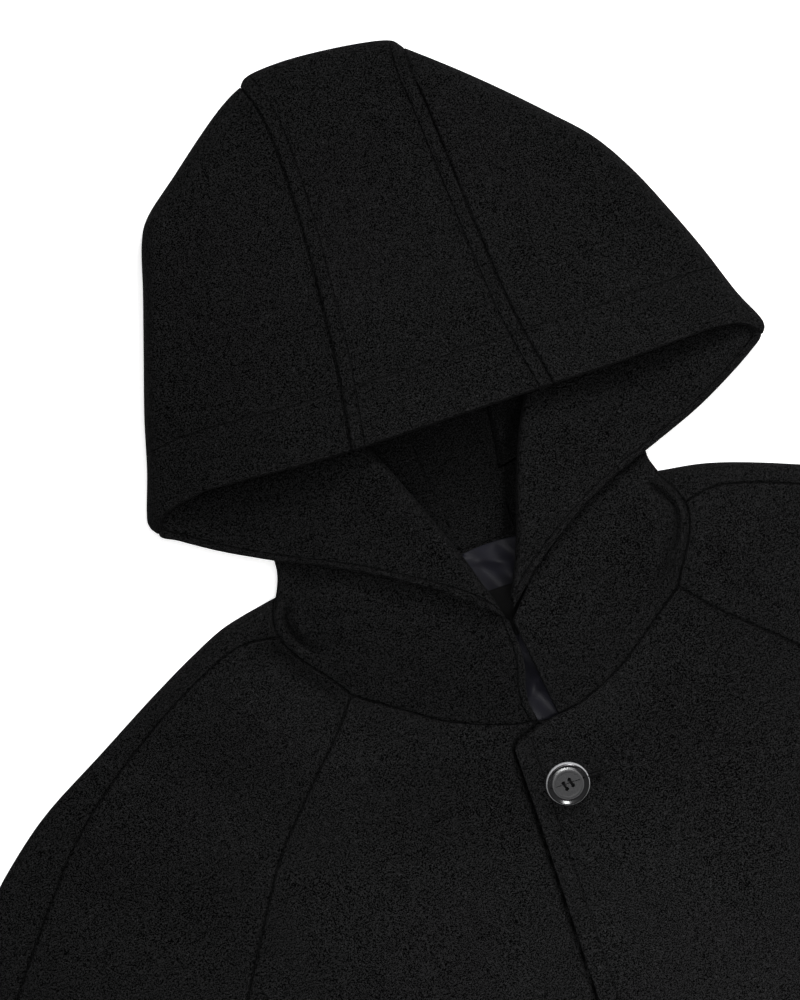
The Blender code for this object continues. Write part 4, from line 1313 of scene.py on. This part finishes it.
class COAT_OT_neck(bpy.types.Operator):
    """Make the neck of the hood and the lining behind it"""

    bl_idname = "coat.neck"
    bl_label = "Neck"

    def execute(self, context):
        """Build the pieces."""
        settings = context.scene.coat
        for side, word in ((1, "left"), (-1, "right")):
            keys = ("front", side), ("sleeve_front", side), ("sleeve_back", side), "back"
            grid = neck_grid(side, *(PANELS[key] for key in keys))
            x, y = grid[..., 0], grid[..., 1]
            away = distance(x, y, neck_line())
            edge = rim_distance(grid, (), (0,))
            share = ridge_share(x, y)
            # The seam field holds the neck seam and, along the ridge, painted shade in the crease 6.6 mm
            # inside it.
            fields = {"seam": np.minimum(away, np.abs(away - 6.6) + 4 * (1 - share)), "border": edge}
            # Painted shade in the deep place beside the left facing's roll, on the layer beneath, together
            # with the gusset's seam running on down the neck.
            shade = np.minimum(distance(x, y, ROLL_SHADE) * 0.2, distance(x, y, GUSSET_END))
            fields["seam"] = np.minimum(fields["seam"], np.where(grid[..., 2] < 3, shade, FAR))
            if side < 0:
                fields["stitch"] = edge - STITCH_FROM_FACING_EDGE
            soft = np.full(grid.shape[:2], 0.8)
            soft[-1, grid.shape[1] // 2 :] = 0.16
            made = shell(
                f"coat_neck_{word}", grid, DOUBLE_CLOTH, wool(settings), up=(1, True), rounding=soft,
                fields=fields,
            )
            dress(made, f"neck_{word}")
        made = shell("coat_lining", lining_grid(), 0.8, satin(settings), up=(40, True), rounding=0.3)
        dress(made, "lining")
        made = shell("coat_label", label_grid(), 0.6, label_finish(settings), up=(15, True), rounding=0.25)
        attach(made, "root")
        return {"FINISHED"}


def hood_fields(grid, upper):
    """Distances of a hood piece's points to its seams, with painted shade beside the left facing's roll, and
    to its brim and brim stitching.

    upper counts the columns of its crown, before the fold.
    """
    x, y = grid[..., 0], grid[..., 1]
    seam = np.min([distance(x, y, line) for line in GUSSET_SEAMS], axis=0)
    brim = distance(x, y, BRIM_LINE)
    seam[:, upper:] = np.maximum(seam[:, upper:], 4)
    # Painted shade beside the left facing's roll, put into the seam field of the layers beneath the fold.
    seam[:, upper:] = np.minimum(seam[:, upper:], distance(x, y, ROLL_SHADE)[:, upper:] * 0.2)
    brim[:, upper:] = np.maximum(brim[:, upper:], STITCH_FROM_BRIM + 5)
    return {"seam": seam, "border": brim, "hem": brim - STITCH_FROM_BRIM}


class COAT_OT_hood(bpy.types.Operator):
    """Make the hood's sides and gusset"""

    bl_idname = "coat.hood"
    bl_label = "Hood"

    def execute(self, context):
        """Build the pieces."""
        cloth = wool(context.scene.coat)
        for word, outline, crown, under in (
            ("left", HOOD_LEFT, CROWN_LEFT, UNDER_LEFT),
            ("right", HOOD_RIGHT, CROWN_RIGHT, UNDER_RIGHT),
        ):
            grid = hood_grid(outline, crown, under)
            fields = hood_fields(grid, CROWN_COLUMNS)
            fields["seam"][:, -1] = 0
            width = np.linalg.norm(np.diff(grid, axis=1), axis=2).sum(axis=1)
            thick = np.minimum(DOUBLE_CLOTH, 0.3 + 0.09 * width)
            soft = np.repeat(np.minimum(0.7, 0.02 * width)[:, None], grid.shape[1], axis=1)
            soft[:, -1] *= 0.2 if word == "right" else 1
            soft[0, CROWN_COLUMNS + 8 :] *= 0.2
            made = shell(f"coat_hood_{word}", grid, thick, cloth, rounding=soft, fields=fields)
            dress(made, f"hood_{word}")
        grid = gusset_grid()
        fields = hood_fields(grid, len(HOOD_SHARES))
        near = np.min([distance(grid[..., 0], grid[..., 1], line) for line in GUSSET_SEAMS], axis=0)
        fields["stitch"] = near - STITCH_FROM_GUSSET
        soft = np.full(grid.shape[:2], 0.7)
        soft[0, len(HOOD_SHARES) + 4 :] = 0.14
        made = shell("coat_hood_gusset", grid, DOUBLE_CLOTH, cloth, rounding=soft, fields=fields)
        dress(made, "hood_gusset")
        return {"FINISHED"}


class COAT_OT_facings(bpy.types.Operator):
    """Make the turned-out facings of the hood's front edges"""

    bl_idname = "coat.facings"
    bl_label = "Facings"

    def execute(self, context):
        """Build the pieces."""
        cloth = wool(context.scene.coat)
        for word, table in (("left", FACING_LEFT), ("right", FACING_RIGHT)):
            grid = facing_grid(table, FACING_FOLDS[word])
            PANELS["facing", word] = grid
            edge = rim_distance(grid, (0,))
            fields = {"border": edge, "stitch": edge - STITCH_FROM_FACING_EDGE}
            made = shell(
                f"coat_hood_facing_{word}", grid, DOUBLE_CLOTH, cloth, up=(1, True), rounding=1.4,
                fields=fields,
            )
            dress(made, f"hood_facing_{word}")
        return {"FINISHED"}


class COAT_OT_sewing(bpy.types.Operator):
    """Sew the rows of topstitching and the buttonholes"""

    bl_idname = "coat.sewing"
    bl_label = "Sewing"

    def execute(self, context):
        """Build the pieces."""
        settings = context.scene.coat
        lines = []
        for seam, away in zip(GUSSET_SEAMS, (-STITCH_FROM_GUSSET, STITCH_FROM_GUSSET)):
            line = offset(resampled(seam, 130), away)
            lines.append(on_surface(line[line[:, 1] < 364], hood_top))
        brim = offset(resampled(np.array(BRIM_LINE, float), 160), STITCH_FROM_BRIM)
        inside = distance(brim[:, 0], brim[:, 1], HOOD_LINE) > 5
        inside &= np.abs(brim[:, 0] - 1) < 150
        lines.append(on_surface(brim[inside], hood_top))
        sew("coat_hood_stitching", lines, settings)
        lines = []
        for word in ("left", "right"):
            grid = PANELS["facing", word]
            line = beside_edge(grid, STITCH_FROM_FACING_EDGE)
            normals = np.cross(np.gradient(grid, axis=0)[:, 2], np.gradient(grid, axis=1)[:, 2])
            normals = unit(normals * np.sign(normals[:, 2:]))
            lines.append((line[1:90], normals[1:90]))
        sew("coat_facing_stitching", lines, settings)
        plan = beside_edge(PANELS["front", 1], STITCH_FROM_FRONT_EDGE)[:, :2]
        line = on_surface(resampled(plan, 700)[1:-1], front_surface)
        sew("coat_front_stitching", [line], settings)
        self.buttonholes(settings)
        return {"FINISHED"}

    def buttonholes(self, settings):
        """Overcast each buttonhole with close short stitches."""
        points, polygons = [], []
        shape, faces = stitch_shape()
        for y in button_places(settings):
            start = BUTTONHOLE_END - BUTTONHOLE_LENGTH
            for row in (-1, 1):
                for x in np.arange(start, BUTTONHOLE_END + 0.01, 0.55):
                    place = np.array([[x, y + row * 1.15]])
                    middle, up = on_surface(place, front_surface)
                    size = shape * (1.9, 0.5, 0.5)
                    base = len(points) * len(shape)
                    turned = np.stack([size[:, 1], size[:, 0] * row, size[:, 2]], axis=1)
                    points.append(middle[0] + turned + up[0] * 0.05)
                    polygons.extend([[base + v for v in face] for face in faces])
        made = mesh_object(
            "coat_buttonhole_stitching", placed(np.concatenate(points)), polygons, thread(settings)
        )
        bm = bmesh.new()
        bm.from_mesh(made.data)
        bmesh.ops.recalc_face_normals(bm, faces=bm.faces)
        bm.to_mesh(made.data)
        bm.free()
        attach(made, "root")


class COAT_OT_buttons(bpy.types.Operator):
    """Make the four buttons and the thread that holds them"""

    bl_idname = "coat.buttons"
    bl_label = "Buttons"

    def execute(self, context):
        """Build the pieces."""
        settings = context.scene.coat
        r, t = settings.button_radius, settings.button_thick
        pattern = self.disc(r, t)
        cord = self.cross(r, t)
        finish = button_finish(settings)
        pattern.data.materials.append(finish)
        cord.data.materials.append(thread(settings))
        for number, y in enumerate(button_places(settings), 1):
            heights = front_surface(np.array([0.0, 0.0]), np.array([y + r / MM, y - r / MM]))
            slope = (heights[0] - heights[1]) * MM / (2 * r)
            steps = np.array([-1, -0.5, 0, 0.5, 1])
            middle = max(front_surface(np.zeros(5), y + steps * r / MM) - steps * r / MM * slope)
            at = Matrix.Translation(Vector(placed((-1.5, y, middle + 0.6)).tolist()))
            at = at @ Matrix.Rotation(math.atan(slope), 4, "X") @ Matrix.Rotation(math.radians(14), 4, "Z")
            for source, name in ((pattern, f"coat_button_{number}"), (cord, f"coat_button_thread_{number}")):
                data = source.data.copy()
                data.transform(at)
                made = bpy.data.objects.new(name, data)
                context.scene.collection.objects.link(made)
                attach(made, "root")
                if source is pattern:
                    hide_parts(f"button_{number}")
        bpy.data.objects.remove(pattern)
        bpy.data.objects.remove(cord)
        return {"FINISHED"}

    def disc(self, r, t):
        """A four-hole button with a raised rim, lying on z = 0."""
        clear_selection()
        bpy.ops.mesh.primitive_cylinder_add(vertices=72, radius=0.93 * r, depth=t, location=(0, 0, t / 2))
        made = bpy.context.object
        bpy.ops.object.transform_apply(location=True, rotation=True, scale=True)
        bpy.ops.object.mode_set(mode="EDIT")
        bpy.ops.mesh.select_mode(type="FACE")
        steps = ((0.03, 0.03), (0.03, -0.06), (0.08, -0.16), (0.09, 0.08), (0.03, 0.02), (0.12, -0.03))
        bpy.ops.mesh.select_all(action="DESELECT")
        shape = bmesh.from_edit_mesh(made.data)
        for face in shape.faces:
            face.select = face.normal.z > 0.9
        bmesh.update_edit_mesh(made.data)
        for inset, drop in steps:
            bpy.ops.mesh.inset(thickness=inset * r)
            bpy.ops.transform.translate(value=(0, 0, drop * t))
        bpy.ops.object.mode_set(mode="OBJECT")
        shape = bmesh.new()
        shape.from_mesh(made.data)
        sides = [e for e in shape.edges if abs(e.verts[0].co.z - e.verts[1].co.z) > 0.9 * t]
        bmesh.ops.subdivide_edges(shape, edges=sides, cuts=5, use_grid_fill=False)
        for vert in shape.verts:
            out = math.hypot(vert.co.x, vert.co.y)
            if out > 0.92 * r:
                swell = math.sin(math.pi * min(max(vert.co.z / t, 0), 1)) ** 0.6
                scale = (0.93 + 0.07 * swell) * r / out
                vert.co.x *= scale
                vert.co.y *= scale
        shape.to_mesh(made.data)
        shape.free()
        cutters = []
        for k in range(4):
            turn = math.pi / 4 + k * math.pi / 2
            out = 0.223 * r
            clear_selection()
            bpy.ops.mesh.primitive_cylinder_add(
                vertices=24, radius=0.09 * r, depth=3 * t,
                location=(out * math.cos(turn), out * math.sin(turn), t / 2),
            )
            cutters.append(bpy.context.object)
        cut_away(made, cutters)
        out = np.array([math.hypot(v.co.x, v.co.y) / r for v in made.data.vertices])
        layer = made.data.attributes.new("radius", "FLOAT", "POINT")
        layer.data.foreach_set("value", out.astype(np.float32))
        made.data.shade_smooth()
        made.data.set_sharp_from_angle(angle=math.radians(38))
        for face in made.data.polygons:
            face.use_smooth = abs(face.normal.z) < 0.998
        return made

    def cross(self, r, t):
        """Two bars of thread between the holes."""
        out = 0.158 * r
        top = 0.88 * t - 0.3 * MM
        bars = []
        for x in (-out, out):
            for shift in (-0.32, 0.32):
                points = []
                for s in np.linspace(-1.0, 1.0, 15):
                    z = top + 0.6 * MM * (1 - abs(s) ** 4)
                    z = z if abs(s) < 0.99 else 0.1 * t
                    points.append((x + shift * MM, s * out, z))
                bars.append(points)
        curve = bpy.data.curves.new("button_thread", "CURVE")
        curve.dimensions = "3D"
        curve.bevel_depth = 0.34 * MM
        curve.bevel_resolution = 2
        curve.use_fill_caps = True
        for points in bars:
            bar = curve.splines.new("POLY")
            bar.points.add(len(points) - 1)
            for place, point in zip(bar.points, points):
                place.co = (*point, 1)
        made = bpy.data.objects.new("button_thread", curve)
        bpy.context.scene.collection.objects.link(made)
        activate(made)
        bpy.ops.object.convert(target="MESH")
        made = bpy.context.object
        made.data.shade_smooth()
        return made


class COAT_OT_stage(bpy.types.Operator):
    """Set out the floor, the light and the camera"""

    bl_idname = "coat.stage"
    bl_label = "Stage"

    def execute(self, context):
        """Build the stage."""
        scene = context.scene
        clear_selection()
        bpy.ops.mesh.primitive_plane_add(size=6, location=(0, 0, -0.0004))
        floor = context.object
        floor.name = "floor"
        bpy.ops.object.transform_apply(location=True, rotation=True, scale=True)
        floor.data.materials.append(floor_finish())
        world = bpy.data.worlds.new("studio")
        world.use_nodes = True
        world.node_tree.nodes["Background"].inputs[0].default_value = (1, 1, 1, 1)
        world.node_tree.nodes["Background"].inputs[1].default_value = 0.17
        scene.world = world
        for name, place, size, power in (
            ("softbox", (0.2, 0.7, 2.2), 1.8, 25),
            ("window", (1.1, 1.75, 1.6), 0.9, 44),
        ):
            light = bpy.data.lights.new(name, "AREA")
            light.shape = "DISK"
            light.size, light.energy = size, power
            lamp = bpy.data.objects.new(name, light)
            lamp.location = place
            aim = Vector((0, 0.42, 0)) - Vector(place)
            lamp.rotation_euler = aim.to_track_quat("-Z", "Y").to_euler()
            scene.collection.objects.link(lamp)
        spot = bpy.data.lights.new("front", "SPOT")
        spot.energy, spot.shadow_soft_size, spot.spot_size, spot.spot_blend = 240, 0.3, math.radians(23), 1.0
        lamp = bpy.data.objects.new("front", spot)
        lamp.location = (0.06, 0.02, 2.2)
        scene.collection.objects.link(lamp)
        camera = bpy.data.cameras.new("photograph")
        camera.sensor_fit = "AUTO"
        camera.sensor_width = 36
        distance_up, seen = 3.0, 0.530
        camera.lens = camera.sensor_width * distance_up / seen
        camera.clip_end = 20
        eye = bpy.data.objects.new("photograph", camera)
        eye.location = (-0.038, 0.4222, distance_up)
        eye.rotation_euler = (0, 0, -math.radians(18.5))
        scene.collection.objects.link(eye)
        scene.camera = eye
        scene.view_settings.view_transform = "Standard"
        return {"FINISHED"}


class COAT_PT_panel(bpy.types.Panel):
    """Sizes, colours and steps of the coat"""

    bl_idname = "COAT_PT_panel"
    bl_label = "Hooded Coat"
    bl_space_type = "VIEW_3D"
    bl_region_type = "UI"
    bl_category = "Coat"

    def draw(self, context):
        """List the settings and the steps."""
        for name in CoatSettings.__annotations__:
            self.layout.prop(context.scene.coat, name)
        for step in STEPS:
            self.layout.operator(step.bl_idname)


STEPS = (
    COAT_OT_body, COAT_OT_sleeves, COAT_OT_neck, COAT_OT_hood, COAT_OT_facings, COAT_OT_sewing,
    COAT_OT_buttons, COAT_OT_stage,
)


def register():
    """Register the classes and the settings."""
    for part in (CoatSettings, *STEPS, COAT_PT_panel):
        bpy.utils.register_class(part)
    bpy.types.Scene.coat = bpy.props.PointerProperty(type=CoatSettings)


def unregister():
    """Remove the classes and the settings."""
    del bpy.types.Scene.coat
    for part in (COAT_PT_panel, *reversed(STEPS), CoatSettings):
        bpy.utils.unregister_class(part)


def main():
    """Dress the coat."""
    register()
    bpy.ops.coat.body()
    bpy.ops.coat.sleeves()
    bpy.ops.coat.neck()
    bpy.ops.coat.hood()
    bpy.ops.coat.facings()
    bpy.ops.coat.sewing()
    bpy.ops.coat.buttons()
    bpy.ops.coat.stage()


if __name__ == "__main__":
    main()
